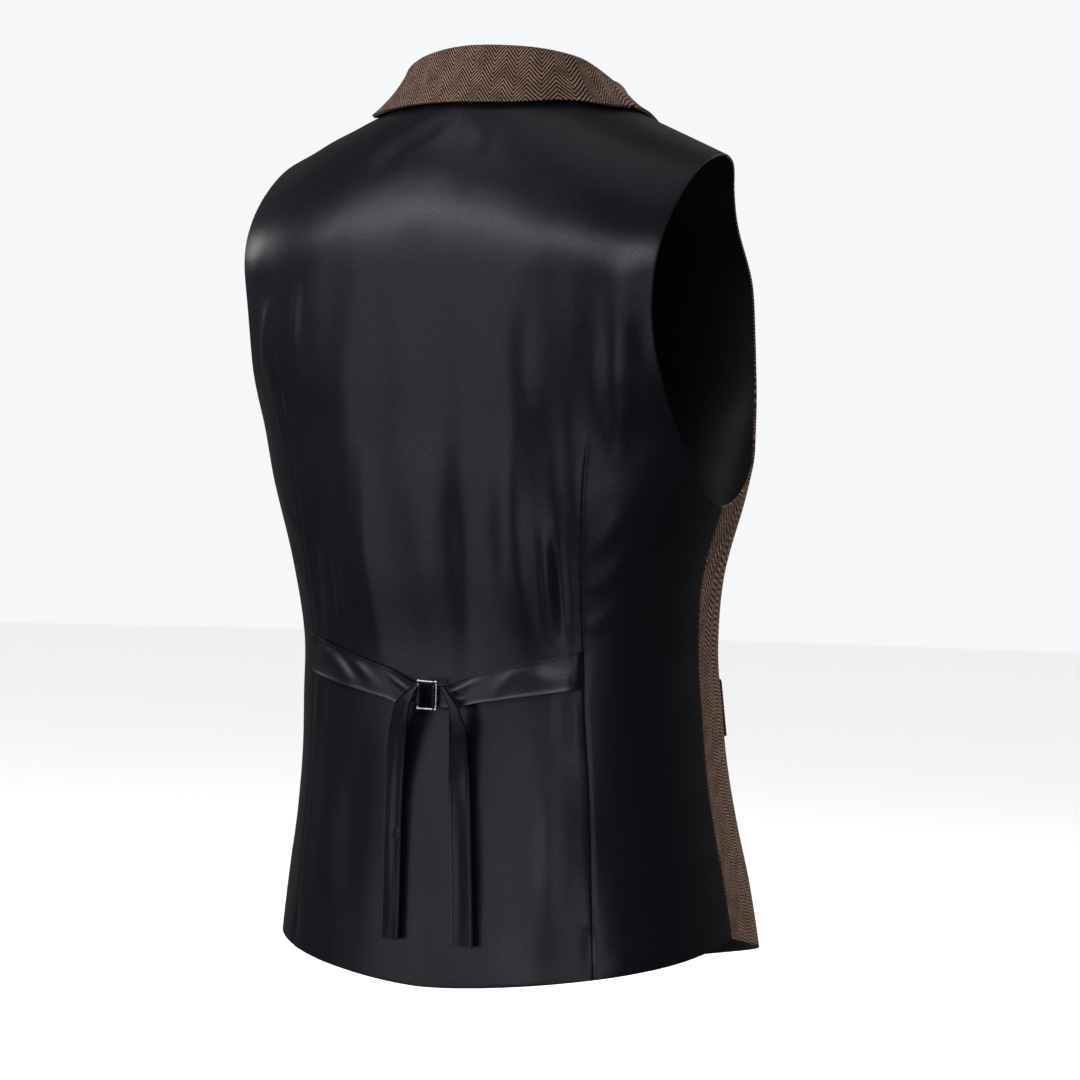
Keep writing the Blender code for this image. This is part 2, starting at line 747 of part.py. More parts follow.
def make_buttons():
    """Turned buttons down the left front's edge, a rounded rim round a sunk middle."""
    points = [(BUTTON_RADIUS * row.radius * MM, 0, BUTTON_HEIGHT * row.height * MM)
              for row in BUTTON_PROFILE]
    for number in range(BUTTONS):
        drop = BUTTON_FIRST + BUTTON_STEP * number
        seat = laid_on_front(0.0, drop, BUTTON_SHANK, True)
        axis = (laid_on_front(0.0, drop, BUTTON_SHANK + 1, True) - seat).normalized()
        mesh = bpy.data.meshes.new("button_profile")
        mesh.from_pydata(points, [(i, i + 1) for i in range(len(points) - 1)], [])
        turned = bpy.data.objects.new("button_profile", mesh)
        garment.objects.link(turned)
        screw = turned.modifiers.new("turn", "SCREW")
        screw.steps = screw.render_steps = BUTTON_SIDES
        screw.use_merge_vertices = True
        screw.merge_threshold = 0.00001
        view = bpy.context.evaluated_depsgraph_get()
        solid = bpy.data.meshes.new_from_object(turned.evaluated_get(view))
        bpy.data.objects.remove(turned)
        work = bmesh.new()
        work.from_mesh(solid)
        bmesh.ops.remove_doubles(work, verts=work.verts[:], dist=0.00001)
        bmesh.ops.recalc_face_normals(work, faces=work.faces[:])
        work.to_mesh(solid)
        work.free()
        button = finish(solid, f"button_{number + 1}", horn)
        button.rotation_mode = "QUATERNION"
        button.rotation_quaternion = Vector((0, 0, 1)).rotation_difference(axis)
        button.location = seat * MM


# ---- cinch strap -----------------------------------------------------------------------------

def buckle_centre():
    return laid_on_back(*BUCKLE, BUCKLE_OUT)


def band_middle(side):
    """A band's middle surface: from its dart to the buckle, then round the buckle's side wire."""
    centre = buckle_centre()
    wire = centre + Vector((side * BUCKLE_HALF_WIDTH, 0, 0))
    loop = SIDE_WIRE + LIE + STRAP_WALL / 2
    sewn_x, sewn_drop = STRAP_END

    def middle(u, v):
        if u < LOOP_PART:
            t = u / LOOP_PART
            x = blend(side * sewn_x, wire.x, t)
            drop = blend(sewn_drop, BUCKLE[1], t)
            gather = ease((t - GATHER_FROM) / (1 - GATHER_FROM))
            width = blend(blend(STRAP_WIDTH, NARROWED, t), GATHERED, gather)
            height = (0.5 - v) * width
            lie = laid_on_back(x, drop - height, LIE + STRAP_WALL / 2 + BAND_PUFF * ease(t / PUFF_PART))
            near = Vector((x, wire.y - loop, wire.z + height))
            return blend(lie, near, ease((t - RISE_FROM) / (1 - RISE_FROM)))
        turn = (u - LOOP_PART) / (1 - LOOP_PART) * math.pi
        across = -side * loop * math.sin(turn)
        return wire + Vector((across, -loop * math.cos(turn), (0.5 - v) * GATHERED))

    return middle


def make_straps():
    for name, side in (("strap_left", 1), ("strap_right", -1)):
        middle = band_middle(side)
        turned = -side

        def place(u, v, out, middle=middle, turned=turned):
            return middle(u, v) + facing(middle, u, v) * turned * (out + STRAP_WALL / 2)

        cloth(name, place, BAND_COLUMNS, BAND_ROWS, STRAP_WALL, satin)


def make_tails():
    """The loose ends of the strap, hanging in front of the bands."""
    for name, rows in (("tail_left", LEFT_TAIL), ("tail_right", RIGHT_TAIL)):
        def place(u, v, out, rows=rows):
            drop = blend(rows[0].depth, TAIL_FOOT, v)
            x, off, width, turn = (smooth(rows, name, drop) for name in Tail._fields[1:])
            middle = laid_on_back(x, drop, off)
            heading = math.radians(turn)
            across = Vector((math.cos(heading), math.sin(heading), 0))
            normal = Vector((-math.sin(heading), math.cos(heading), 0))
            return middle + across * width * (u - 0.5) + normal * (out + STRAP_WALL / 2)

        cloth(name, place, TAIL_COLUMNS, TAIL_ROWS, STRAP_WALL, satin)


def make_buckle():
    """A wire slide: thin sides, thicker ends with knobs at their corners."""
    other_half = tuple(Wire(-row.across, -row.up, row.radius) for row in BUCKLE_HALF)
    outline = BUCKLE_HALF + other_half
    curve = bpy.data.curves.new("buckle_wire", "CURVE")
    curve.dimensions = "3D"
    curve.bevel_depth = MM
    curve.bevel_resolution = 2
    spline = curve.splines.new("POLY")
    spline.points.add(len(outline) - 1)
    for point, row in zip(spline.points, outline):
        across, up = BUCKLE_HALF_WIDTH * row.across, BUCKLE_HALF_HEIGHT * row.up
        point.co = (across * MM, 0, up * MM, 1)
        point.radius = row.radius
    spline.use_cyclic_u = True
    buckle = bpy.data.objects.new("buckle", curve)
    buckle.location = buckle_centre() * MM
    curve.materials.append(metal)
    garment.objects.link(buckle)


# ---- the garment -----------------------------------------------------------------------------

for old in list(bpy.data.objects):
    bpy.data.objects.remove(old)
garment = bpy.data.collections.new("suit_waistcoat")
bpy.context.scene.collection.children.link(garment)

satin = material("black satin", (0.012, 0.012, 0.016), 0.35)
tweed = material("brown herringbone tweed", (0.052, 0.032, 0.022), 0.9)
horn = material("dark brown button", (0.03, 0.018, 0.012), 0.35)
metal = material("gunmetal", (0.35, 0.35, 0.37), 0.3, 1.0)

make_back()
make_fronts()
make_collar()
make_lapels()
make_flaps()
make_buttons()
make_straps()
make_tails()
make_buckle()
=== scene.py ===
"""A man's suit waistcoat, worn: black satin back with a cinch strap, herringbone tweed fronts.

The wearer faces -Y and +Z is up, so the wearer's left is +X. Lengths in the tables below are
millimetres, as a tailor writes them, and MM turns them into the frame's metres.
"""

import math
from collections import namedtuple

import bpy
import numpy as np
from mathutils import Matrix, Quaternion, Vector


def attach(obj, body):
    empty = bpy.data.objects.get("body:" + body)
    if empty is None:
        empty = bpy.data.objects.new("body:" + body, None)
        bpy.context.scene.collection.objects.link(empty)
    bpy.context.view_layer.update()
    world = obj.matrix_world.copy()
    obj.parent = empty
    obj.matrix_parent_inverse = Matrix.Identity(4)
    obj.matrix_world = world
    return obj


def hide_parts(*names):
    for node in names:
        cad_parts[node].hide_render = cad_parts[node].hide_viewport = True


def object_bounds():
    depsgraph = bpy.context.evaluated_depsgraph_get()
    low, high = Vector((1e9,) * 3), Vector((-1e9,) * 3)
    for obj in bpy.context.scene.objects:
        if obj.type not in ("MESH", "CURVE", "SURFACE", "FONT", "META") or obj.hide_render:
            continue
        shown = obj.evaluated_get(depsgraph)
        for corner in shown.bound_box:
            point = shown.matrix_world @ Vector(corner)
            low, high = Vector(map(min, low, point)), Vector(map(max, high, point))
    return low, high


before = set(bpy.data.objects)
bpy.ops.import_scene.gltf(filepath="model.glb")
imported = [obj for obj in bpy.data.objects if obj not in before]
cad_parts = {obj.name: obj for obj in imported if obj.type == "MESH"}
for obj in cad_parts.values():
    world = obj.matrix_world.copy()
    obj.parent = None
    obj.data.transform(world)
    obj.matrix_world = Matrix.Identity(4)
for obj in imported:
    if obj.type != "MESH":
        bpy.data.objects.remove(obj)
cad_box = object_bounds()
MM = 0.001


# ---- camera, floor and lamps ------------------------------------------------------------------
# The waistcoat hangs over a wide pale floor, seen from behind its right shoulder. All lamps but
# the low one are large and soft, and most of the light comes from above and behind.

CAMERA_ROUND = 32.02       # degrees from straight behind towards the wearer's right
CAMERA_AWAY = 2.5552
CAMERA_HEIGHT = -0.2067
AIM_ASIDE = 0.02459
AIM_HEIGHT = -0.29557
CAMERA_ROLL = 1.613
LENS = 125.45
SENSOR = 36.0

FLOOR_HEIGHT = -0.9
FLOOR_RADIUS = 9.0
FLOOR_CORNERS = 96
FLOOR_ROUGHNESS = 0.8
FLOOR_COLOUR = (0.86, 0.86, 0.86, 1.0)
ROOM_COLOUR = (0.97, 0.98, 1.0, 1.0)
ROOM_LIGHT = 0.10          # what the room gives as light
ROOM_SEEN = 0.95           # and as a backdrop

WHITE, WARM = (1.0, 1.0, 1.0), (1.0, 0.99, 0.97)
COOL, COOLER = (0.96, 0.98, 1.0), (0.94, 0.97, 1.0)
# degrees round and up from the garment's middle, then metres away, wide and tall
Lamp = namedtuple("Lamp", "name round height away wide tall watts colour")
LAMPS = (
    Lamp("lamp_band", 24, 28.5, 2.2, 2.2, 0.62, 27, COOL),
    Lamp("lamp_band_right", -25, 21.5, 2.4, 0.9, 0.85, 20, COOL),
    Lamp("lamp_band_left", 86, 16, 2.4, 0.7, 0.5, 6.5, COOL),
    Lamp("lamp_top", 50, 58, 2.0, 0.9, 0.6, 2.5, WHITE),
    Lamp("lamp_back", 28, -2, 2.4, 1.5, 1.8, 12, COOLER),
    Lamp("lamp_right", -32, -11, 2.3, 1.0, 0.45, 4.4, COOLER),
    Lamp("lamp_low", -3, -15.5, 1.1, 0.34, 0.2, 0.034, COOLER),
    Lamp("lamp_side_right", -150, 14, 2.1, 0.9, 1.2, 25, WHITE),
    Lamp("lamp_over", 0, 88, 2.0, 1.2, 1.2, 3, WHITE),
    Lamp("lamp_front", 200, 38, 2.6, 1.6, 1.2, 30, WARM),
)
LOW_AIM = (-0.07, 0.12, -0.56)    # where the low lamp points
LOW_SPREAD = 26.0          # degrees
FLOOR_SUN = 3.0            # an even light for the floor alone
FLOOR_SUN_ANGLE = 60.0
FLOOR_SUN_HEIGHT = 2.0


def deselect():
    bpy.ops.object.select_all(action="DESELECT")


def behind(degrees, height=0.0):
    """A direction: degrees round from straight behind to the wearer's left, and up."""
    turn, rise = math.radians(degrees), math.radians(height)
    return Vector((math.sin(turn) * math.cos(rise), math.cos(turn) * math.cos(rise), math.sin(rise)))


middle_height = sum(corner[2] for corner in cad_box) / 2
garment_middle = Vector((0, 0, middle_height))

deselect()
camera_place = behind(-CAMERA_ROUND) * CAMERA_AWAY + Vector((0, 0, CAMERA_HEIGHT))
aim = behind(-CAMERA_ROUND - 90) * AIM_ASIDE + Vector((0, 0, AIM_HEIGHT))
bpy.ops.object.camera_add(location=camera_place)
camera = bpy.context.object
camera.rotation_mode = "QUATERNION"
camera.rotation_quaternion = (
    (aim - camera_place).to_track_quat("-Z", "Y")
    @ Quaternion((0, 0, 1), math.radians(CAMERA_ROLL)))
camera.data.lens = LENS
camera.data.sensor_width = SENSOR
bpy.context.scene.camera = camera

for lamp in LAMPS:
    deselect()
    place = garment_middle + behind(lamp.round, lamp.height) * lamp.away
    bpy.ops.object.light_add(type="AREA", location=place)
    light = bpy.context.object
    light.name = lamp.name
    light.data.shape = "RECTANGLE"
    light.data.size, light.data.size_y = lamp.wide, lamp.tall
    light.data.energy = lamp.watts
    light.data.color = lamp.colour
    light.rotation_mode = "QUATERNION"
    light.rotation_quaternion = (garment_middle - place).to_track_quat("-Z", "Y")

# the side lamp would glare in the satin, and the low one is for the back below its strap
bpy.data.objects["lamp_side_right"].visible_glossy = False
low_lamp = bpy.data.objects["lamp_low"]
low_lamp.rotation_quaternion = (Vector(LOW_AIM) - low_lamp.location).to_track_quat("-Z", "Y")
low_lamp.data.spread = math.radians(LOW_SPREAD)

room = bpy.data.worlds.new("room")
bpy.context.scene.world = room
room.use_nodes = True
backdrop = room.node_tree.nodes["Background"]
backdrop.inputs["Color"].default_value = ROOM_COLOUR
seen = room.node_tree.nodes.new("ShaderNodeLightPath")
level = room.node_tree.nodes.new("ShaderNodeMapRange")
level.inputs["To Min"].default_value = ROOM_LIGHT
level.inputs["To Max"].default_value = ROOM_SEEN
room.node_tree.links.new(seen.outputs["Is Camera Ray"], level.inputs["Value"])
room.node_tree.links.new(level.outputs["Result"], backdrop.inputs["Strength"])
bpy.context.scene.view_settings.view_transform = "Standard"

deselect()
bpy.ops.mesh.primitive_circle_add(
    vertices=FLOOR_CORNERS, radius=FLOOR_RADIUS, fill_type="NGON", location=(0, 0, FLOOR_HEIGHT))
floor = bpy.context.object
floor.name = "floor"
bpy.ops.object.transform_apply(location=True, rotation=True, scale=True)
pale = bpy.data.materials.new("pale floor")
pale.use_nodes = True
pale_shader = pale.node_tree.nodes["Principled BSDF"]
pale_shader.inputs["Base Color"].default_value = FLOOR_COLOUR
pale_shader.inputs["Roughness"].default_value = FLOOR_ROUGHNESS
floor.data.materials.append(pale)

# the floor is lit by itself, and the satin neither sees it nor takes its light
lit_floor = bpy.data.collections.new("lit by the floor's lamp")
lit_floor.objects.link(floor)
deselect()
bpy.ops.object.light_add(type="SUN", location=(0, 0, FLOOR_SUN_HEIGHT))
sun = bpy.context.object
sun.name = "floor_light"
sun.data.energy = FLOOR_SUN
sun.data.angle = math.radians(FLOOR_SUN_ANGLE)
sun.light_linking.receiver_collection = lit_floor
floor.visible_diffuse = False
floor.visible_glossy = False


# ---- satin back -------------------------------------------------------------------------------
# One panel of black satin from armhole to armhole, bagged out with a satin backing. Two long
# darts shape it to the waist. It lies on a smooth general figure, given by level sections.

CAP = 120.0            # height over which the shoulders round off
SHOULDER_SLOPE = 0.43
NECK_HALF = 75.0       # from the middle to the neck end of a shoulder seam
NECK_ROUND = 30.0
SLOPE_REACH = 150.0
DEPTH_PASSES = 12      # rounds in which a point's depth settles

# A section's depth is from the ridge of the shoulders, and its reach to the back and the front is
# from its centre. A square of 2 is an ellipse, and more is boxier.
Section = namedtuple("Section", "depth half_width centre back front back_square front_square")
SECTIONS = (
    Section(0, 205, 0, 112, 62, 2.8, 2.6),
    Section(60, 205, 0, 112, 74, 2.8, 2.6),
    Section(120, 200, 0, 112, 93, 2.8, 2.6),
    Section(180, 188, 0, 110, 110, 2.7, 2.5),
    Section(220, 178, 0, 107, 117, 2.5, 2.4),
    Section(262, 168, 1, 105, 119, 2.4, 2.4),
    Section(314, 152, -2, 103, 114, 2.4, 2.4),
    Section(364, 146, -10, 103, 106, 2.4, 2.4),
    Section(405, 147, -15, 107, 108, 2.4, 2.4),
    Section(446, 149, -20, 111, 113, 2.4, 2.4),
    Section(486, 154, -25, 116, 119, 2.4, 2.4),
    Section(527, 161, -30, 122, 126, 2.4, 2.4),
    Section(586, 169, -35, 129, 133, 2.4, 2.4),
    Section(640, 175, -40, 134, 137, 2.4, 2.4),
)

TIP_HALF = 164.5          # from the middle to the sleeve end of a shoulder seam
NECK_BACK = 62.0
SIDE_ANGLE = 91.5         # where the side seams run
HEM_BACK = 590.0
HEM_SIDE = 556.0
HEM_BACK_CURVE = 1.6

# the degrees from the middle of the back at which the back and the front end beside the armhole
Armhole = namedtuple("Armhole", "depth back front")
ARMHOLE = (
    Armhole(30, 62.6, 109.5),
    Armhole(76, 62.3, 114.0),
    Armhole(126, 62.0, 117.0),
    Armhole(157, 63.0, 118.3),
    Armhole(189, 66.3, 118.0),
    Armhole(220, 71.8, 114.5),
    Armhole(242, 77.5, 108.5),
    Armhole(258, 83.0, 101.5),
    Armhole(266, 88.0, 95.5),
    Armhole(268, 91.5, 91.5),
)

Dart = namedtuple("Dart", "depth x")
DART_TOP = 214.0
DART_FADE = 30.0
DART = (Dart(214, 118), Dart(300, 110), Dart(375, 107), Dart(470, 112), Dart(580, 120))
DART_SEAM = 0.9           # half width of the seam's groove
DART_SINK = 0.55
DART_ALLOWANCE = 0.25     # the folded cloth behind the seam lifts its inner side
ALLOWANCE_WIDE = 4.0
DART_PUCKER = 0.05
PUCKER_STEP = 11.0
PUCKER_WIDE = 6.0
PUCKER_DRIFT, PUCKER_SWAY = 1.7, 37.0

BACK_WALL = 1.2
BACK_ROLL = 0.5           # roundness of the turned edges
EDGE_STEPS = 3
EDGE_ANGLE = 55.0         # an edge sharper than this is rounded
NECK_COLUMNS, DART_COLUMNS, SIDE_COLUMNS = 42, 26, 32
BACK_ROWS = 220
DART_SAMPLES = 161
TO_DART, FROM_DART = 1.35, 1.2    # columns crowd at the dart by these powers

# The largest, softest folds hang straight down. x runs towards the wearer's left.
Fold = namedtuple("Fold", "x lean top bottom width height")
BACK_FOLDS = (
    Fold(-44, 0.00, 190, 395, 13, -2.4),
    Fold(-12, 0.02, 190, 390, 16, 2.2),
    Fold(56, 0.04, 225, 385, 16, 2.2),
    Fold(88, 0.04, 250, 380, 12, -1.6),
    Fold(-66, 0.00, 200, 385, 12, 2.4),
    Fold(-96, -0.03, 240, 382, 10, -2.6),
    Fold(136, -0.10, 130, 235, 9, 2.5),
    Fold(-138, 0.03, 95, 265, 10, 2.2),
    Fold(26, 0.00, 400, 560, 24, 2.0),
    Fold(-90, 0.03, 405, 580, 20, 3.2),
)

# Creases lie on the folds. Each is a ridge, or a trough where its height is negative, that runs
# from one point to another and is bowed aside at its middle.
Crease = namedtuple("Crease", "x drop to_x to_drop bow width height")
BACK_CREASES = (
    # over the shoulder blades
    Crease(158, 104, 34, 84, 4, 16, 0.5),
    Crease(46, 85, -66, 83, -3, 16, 0.5),
    Crease(-50, 86, -162, 102, 4, 16, 0.5),
    Crease(-6, 16, 54, 52, 3, 8, -1.4),
    Crease(-20, 18, -34, 44, 0, 6, 0.8),
    # down the hollow of the back
    Crease(-32, 150, -35, 376, 3, 9, -1.2),
    Crease(-31, 252, -32, 420, 0, 8, -1.3),
    Crease(10, 120, 14, 372, -4, 20, 1.2),
    Crease(-68, 130, -77, 388, 3, 9, 1.2),
    Crease(60, 140, 56, 270, 2, 12, 1.4),
    Crease(-91, 190, -95, 300, -2, 9, -1.3),
    Crease(-105, 180, -106, 296, 0, 8, 0.8),
    Crease(45, 226, 36, 390, 2, 9, 1.9),
    Crease(71, 236, 60, 390, 0, 8, -1.4),
    Crease(-82, 120, -78, 210, 3, 8, -0.7),
    # beside the armholes
    Crease(132, 138, 140, 196, 2, 3.5, 1.1),
    Crease(101, 126, 106, 172, 1, 3.5, 1.0),
    Crease(124, 196, 118, 226, 1, 3, 1.0),
    Crease(112, 204, 115, 232, -1, 3, 0.8),
    Crease(130, 210, 123, 236, 1, 2.6, 0.7),
    Crease(-140, 108, -136, 226, -2, 12, 1.7),
    Crease(-124, 150, -124, 236, 0, 9, -1.1),
    Crease(-154, 138, -155, 184, 2, 8, -0.8),
    Crease(-140, 196, -133, 246, 2, 5, 0.9),
    # short pleats where the strap pulls the cloth together
    Crease(97, 284, 94, 366, 1, 3.2, -0.9),
    Crease(88, 296, 85, 364, 1, 3.6, 0.8),
    Crease(80, 304, 79, 360, 0, 3.0, -0.7),
    Crease(72, 312, 74, 358, 0, 3.4, 0.5),
    Crease(-95, 284, -96, 362, -1, 3.2, -1.6),
    Crease(-101, 270, -101, 362, -1, 3.6, 0.9),
    Crease(-88, 276, -87, 360, 0, 3.8, 1.3),
    Crease(-83, 290, -83, 354, 0, 3.2, -0.7),
    Crease(-73, 306, -74, 352, 0, 3.4, 0.4),
    Crease(-101, 388, -103, 436, 0, 4.0, 0.6),
    Crease(-94, 388, -95, 430, 0, 4.0, -0.5),
    Crease(-86, 390, -89, 424, 0, 4.0, 0.3),
    Crease(99, 390, 101, 430, 0, 3.4, 0.8),
    Crease(92, 391, 93, 426, 0, 3.0, -0.7),
    Crease(85, 392, 87, 416, 0, 3.0, 0.4),
    # drag lines from the darts towards the arms
    Crease(-112, 303, -136, 266, 2, 4.5, 0.7),
    Crease(-111, 327, -138, 291, 2, 4.5, 0.7),
    Crease(-108, 352, -126, 330, 1, 4.0, 0.6),
    Crease(112, 300, 134, 268, -2, 4.5, 0.6),
    Crease(110, 330, 135, 300, -2, 4.5, 0.5),
    # below the waist, and at the darts' ends
    Crease(-6, 412, -12, 524, 2, 13, 1.4),
    Crease(-90, 440, -98, 566, -3, 15, 1.5),
    Crease(52, 420, 60, 540, 3, 12, -1.3),
    Crease(84, 440, 92, 560, 2, 12, 1.2),
    Crease(-40, 430, -42, 560, 0, 10, -1.0),
    Crease(-115, 540, -116, 578, 0, 4, -1.2),
    Crease(-128, 556, -138, 574, 0, 8, 1.0),
    Crease(116, 544, 118, 576, 0, 4, -1.0),
)

# The cloth is never quite flat: it has long shallow ripples, a third of a millimetre high.
Ripple = namedtuple("Ripple", "height across sway sway_down shift down start")
RIPPLES = (
    Ripple(0.20, 9.1, 1.3, 41, 0, 33, 0.6),
    Ripple(0.16, 5.3, 0.9, 27, 2, 57, 1.9),
)

SATIN_COLOUR = (0.0053, 0.0049, 0.0075, 1.0)
SATIN_DEEP = (0.0039, 0.0036, 0.0056, 1.0)
SATIN_ROUGHNESS = (0.28, 0.35)
SATIN_SHINE = (0.1656, 0.2944)
SATIN_CAST = (1.0, 0.91, 1.0, 1.0)      # of its reflections
MOST = (0.3, 0.7)          # most of a noise's values lie between these
MOST_OF_TWO = (0.6, 1.4)   # and of two noises together between these
GRAIN_SPREAD = (0.25, 0.75)
# how fine the cloth's unevenness is, across and down it
STREAKS, THREADS, GRAIN = (900, 60, 1), (5200, 1400, 1), (900, 620, 1)
CRUMPLE, CRUMPLE_SCALE, CLOUD_SCALE = (1.0, 1.0, 0.55), 34.0, 14.0
CRUMPLE_DEEP, WEAVE_DEEP = 0.0022, 0.0003    # metres


def smooth(rows, column, at):
    """A smooth curve through one column of a table, read at values of its first column."""
    keys = np.array([row[0] for row in rows], float)
    values = np.array([getattr(row, column) for row in rows], float)
    slopes = np.gradient(values, keys)
    slopes[1:-1] = (values[2:] - values[:-2]) / (keys[2:] - keys[:-2])
    at = np.clip(at, keys[0], keys[-1])
    i = np.clip(np.searchsorted(keys, at, side="right") - 1, 0, len(keys) - 2)
    step = keys[i + 1] - keys[i]
    t = (at - keys[i]) / step
    return ((1 + 2 * t) * (1 - t) ** 2 * values[i] + t * (1 - t) ** 2 * step * slopes[i]
            + t * t * (3 - 2 * t) * values[i + 1] + t * t * (t - 1) * step * slopes[i + 1])


def ease(t):
    """0 to 1 with level ends."""
    t = np.clip(t, 0.0, 1.0)
    return t * t * (3 - 2 * t)


def blend(a, b, t):
    return a + (b - a) * t


def length(vectors):
    return np.linalg.norm(vectors, axis=-1)


def unit(vectors):
    return vectors / length(vectors)[..., None]


def level_of(depth):
    """The level of a depth below the shoulders' ridge."""
    depth = np.asarray(depth, float)
    turned = np.arccos(1 - np.minimum(depth, CAP) / CAP) * 2 / np.pi
    return np.where(depth < CAP, turned, 1 + (depth - CAP) / (CAP * np.pi / 2))


def depth_of(level):
    turn = np.minimum(level, 1.0) * np.pi / 2
    return CAP * (1 - np.cos(turn)) + np.maximum(level - 1.0, 0.0) * CAP * np.pi / 2


def shoulder_drop(x, depth):
    """How far the shoulders' slope lowers a point."""
    rise = np.hypot(x, NECK_ROUND) - math.hypot(NECK_HALF, NECK_ROUND)
    return SHOULDER_SLOPE * rise * (1 - ease(depth / SLOPE_REACH))


def reach(depth, front):
    """Half width, centre, depth to the front or back, and squareness of a section."""
    far = np.where(front, smooth(SECTIONS, "front", depth), smooth(SECTIONS, "back", depth))
    square = np.where(front, smooth(SECTIONS, "front_square", depth),
                      smooth(SECTIONS, "back_square", depth))
    return smooth(SECTIONS, "half_width", depth), smooth(SECTIONS, "centre", depth), far, square


def figure(angle, level):
    """Points of the figure at angles in degrees from the middle of the back, and levels."""
    angle, level = np.broadcast_arrays(np.asarray(angle, float), np.asarray(level, float))
    depth = depth_of(level)
    across, along = np.sin(np.radians(angle)), np.cos(np.radians(angle))
    width, centre, far, square = reach(depth, along < 0)
    radius = (np.abs(across / width) ** square + np.abs(along / far) ** square) ** (-1 / square)
    x = radius * across
    full = np.sin(np.minimum(level, 1.0) * np.pi / 2)
    y = centre + full * radius * along
    return np.stack([x, y, -depth - shoulder_drop(x, depth)], axis=-1)


def angle_at(x, depth, front):
    """The angle at which a section is x from the middle."""
    width, _, far, square = reach(depth, front)
    side = far * (1 - np.minimum(np.abs(x) / width, 1.0) ** square) ** (1 / square)
    turn = np.degrees(np.arctan2(np.abs(x), side))
    if front:
        return np.where(np.asarray(x) >= 0, 180 - turn, 180 + turn)
    return np.where(np.asarray(x) >= 0, turn, -turn)


def spot(x, drop, front):
    """Angle and level of the points that are x from the middle and so far below the origin."""
    depth = drop
    for _ in range(DEPTH_PASSES):
        depth = np.maximum(drop - shoulder_drop(x, depth), 0.0)
    return angle_at(x, depth, front), level_of(depth)


def figure_facing(angle, level):
    """The directions that the figure's surface faces."""
    wide, tiny = 0.05, 1e-3
    around = figure(angle + wide, level) - figure(angle - wide, level)
    down = figure(angle, level + tiny) - figure(angle, level - tiny)
    return unit(np.cross(around, down))


def fold_height(folds, x, drop):
    """How far the large folds lift the cloth."""
    total = 0.0
    for fold in folds:
        middle = fold.x + fold.lean * (drop - fold.top)
        along = np.clip((drop - fold.top) / (fold.bottom - fold.top), 0, 1)
        total = total + fold.height * np.sin(np.pi * along) ** 2 * np.exp(
            -((x - middle) / fold.width) ** 2)
    return total


def crease_height(creases, x, drop):
    """How far the creases lift the cloth, each fading out at its ends."""
    total = 0.0
    for crease in creases:
        run_x, run_drop = crease.to_x - crease.x, crease.to_drop - crease.drop
        run = math.hypot(run_x, run_drop)
        off_x, off_drop = x - crease.x, drop - crease.drop
        along = np.clip((off_x * run_x + off_drop * run_drop) / run ** 2, 0, 1)
        aside = (off_x * run_drop - off_drop * run_x) / run
        aside = aside - crease.bow * 4 * along * (1 - along)
        total = total + crease.height * np.sin(np.pi * along) * np.exp(-(aside / crease.width) ** 2)
    return total


def dart_height(x, drop):
    """The dart's seam is a fine groove, a little puckered, beside its folded allowance."""
    aside = np.abs(x) - smooth(DART, "x", drop)
    started = ease((drop - DART_TOP) / DART_FADE)
    groove = -DART_SINK * np.exp(-(aside / DART_SEAM) ** 2)
    allowance = DART_ALLOWANCE * np.exp(-((aside + ALLOWANCE_WIDE) / ALLOWANCE_WIDE) ** 2)
    waves = 2 * np.pi * drop / PUCKER_STEP + PUCKER_DRIFT * np.sin(drop / PUCKER_SWAY) + np.sign(x)
    pucker = DART_PUCKER * np.sin(waves) * np.exp(-(aside / PUCKER_WIDE) ** 2)
    return started * (groove + allowance + pucker)


def unevenness(x, drop):
    """How far the ripples lift the cloth."""
    total = 0.0
    for ripple in RIPPLES:
        sway = ripple.sway * np.sin(drop / ripple.sway_down) + ripple.shift
        total = total + (ripple.height * np.sin(x / ripple.across + sway)
                         * np.sin(drop / ripple.down + ripple.start))
    return total


def on_back(angle, level, out):
    """Points on the back's outer face, moved out."""
    point = figure(angle, level)
    x, drop = point[..., 0], -point[..., 2]
    lift = (fold_height(BACK_FOLDS, x, drop) + crease_height(BACK_CREASES, x, drop)
            + dart_height(x, drop) + unevenness(x, drop))
    return point + figure_facing(angle, level) * (out + lift)[..., None]


def evenly(edge, samples=80):
    """The same edge, a function of 0 to 1 giving angle and level, with even steps in length."""
    steps = np.linspace(0, 1, samples + 1)
    angles, levels = (np.broadcast_to(part, steps.shape) for part in edge(steps))
    places = figure(angles, levels)
    run = np.concatenate([[0], np.cumsum(length(np.diff(places, axis=0)))])

    def even(t):
        return np.interp(t * run[-1], run, angles), np.interp(t * run[-1], run, levels)

    return even


def joined(first, second, corner):
    """Two edges end to end, with the corner at a given parameter."""
    first, second = evenly(first), evenly(second)

    def both(t):
        before = first(np.minimum(t / corner, 1))
        after = second(np.maximum((t - corner), 0) / (1 - corner))
        return tuple(np.where(t <= corner, a, b) for a, b in zip(before, after))

    return both


def patch(start, end, top, bottom):
    """Angle and level inside four edges: start and end at u = 0 and 1, top and bottom at v."""
    corners = [edge(np.array(at, float)) for edge, at in ((start, 0), (end, 0), (start, 1), (end, 1))]

    def inside(u, v):
        a, b, c, d = start(v), end(v), top(u), bottom(u)
        return tuple(
            (1 - u) * a[k] + u * b[k] + (1 - v) * c[k] + v * d[k]
            - (1 - v) * ((1 - u) * corners[0][k] + u * corners[1][k])
            - v * ((1 - u) * corners[2][k] + u * corners[3][k])
            for k in (0, 1))

    return inside


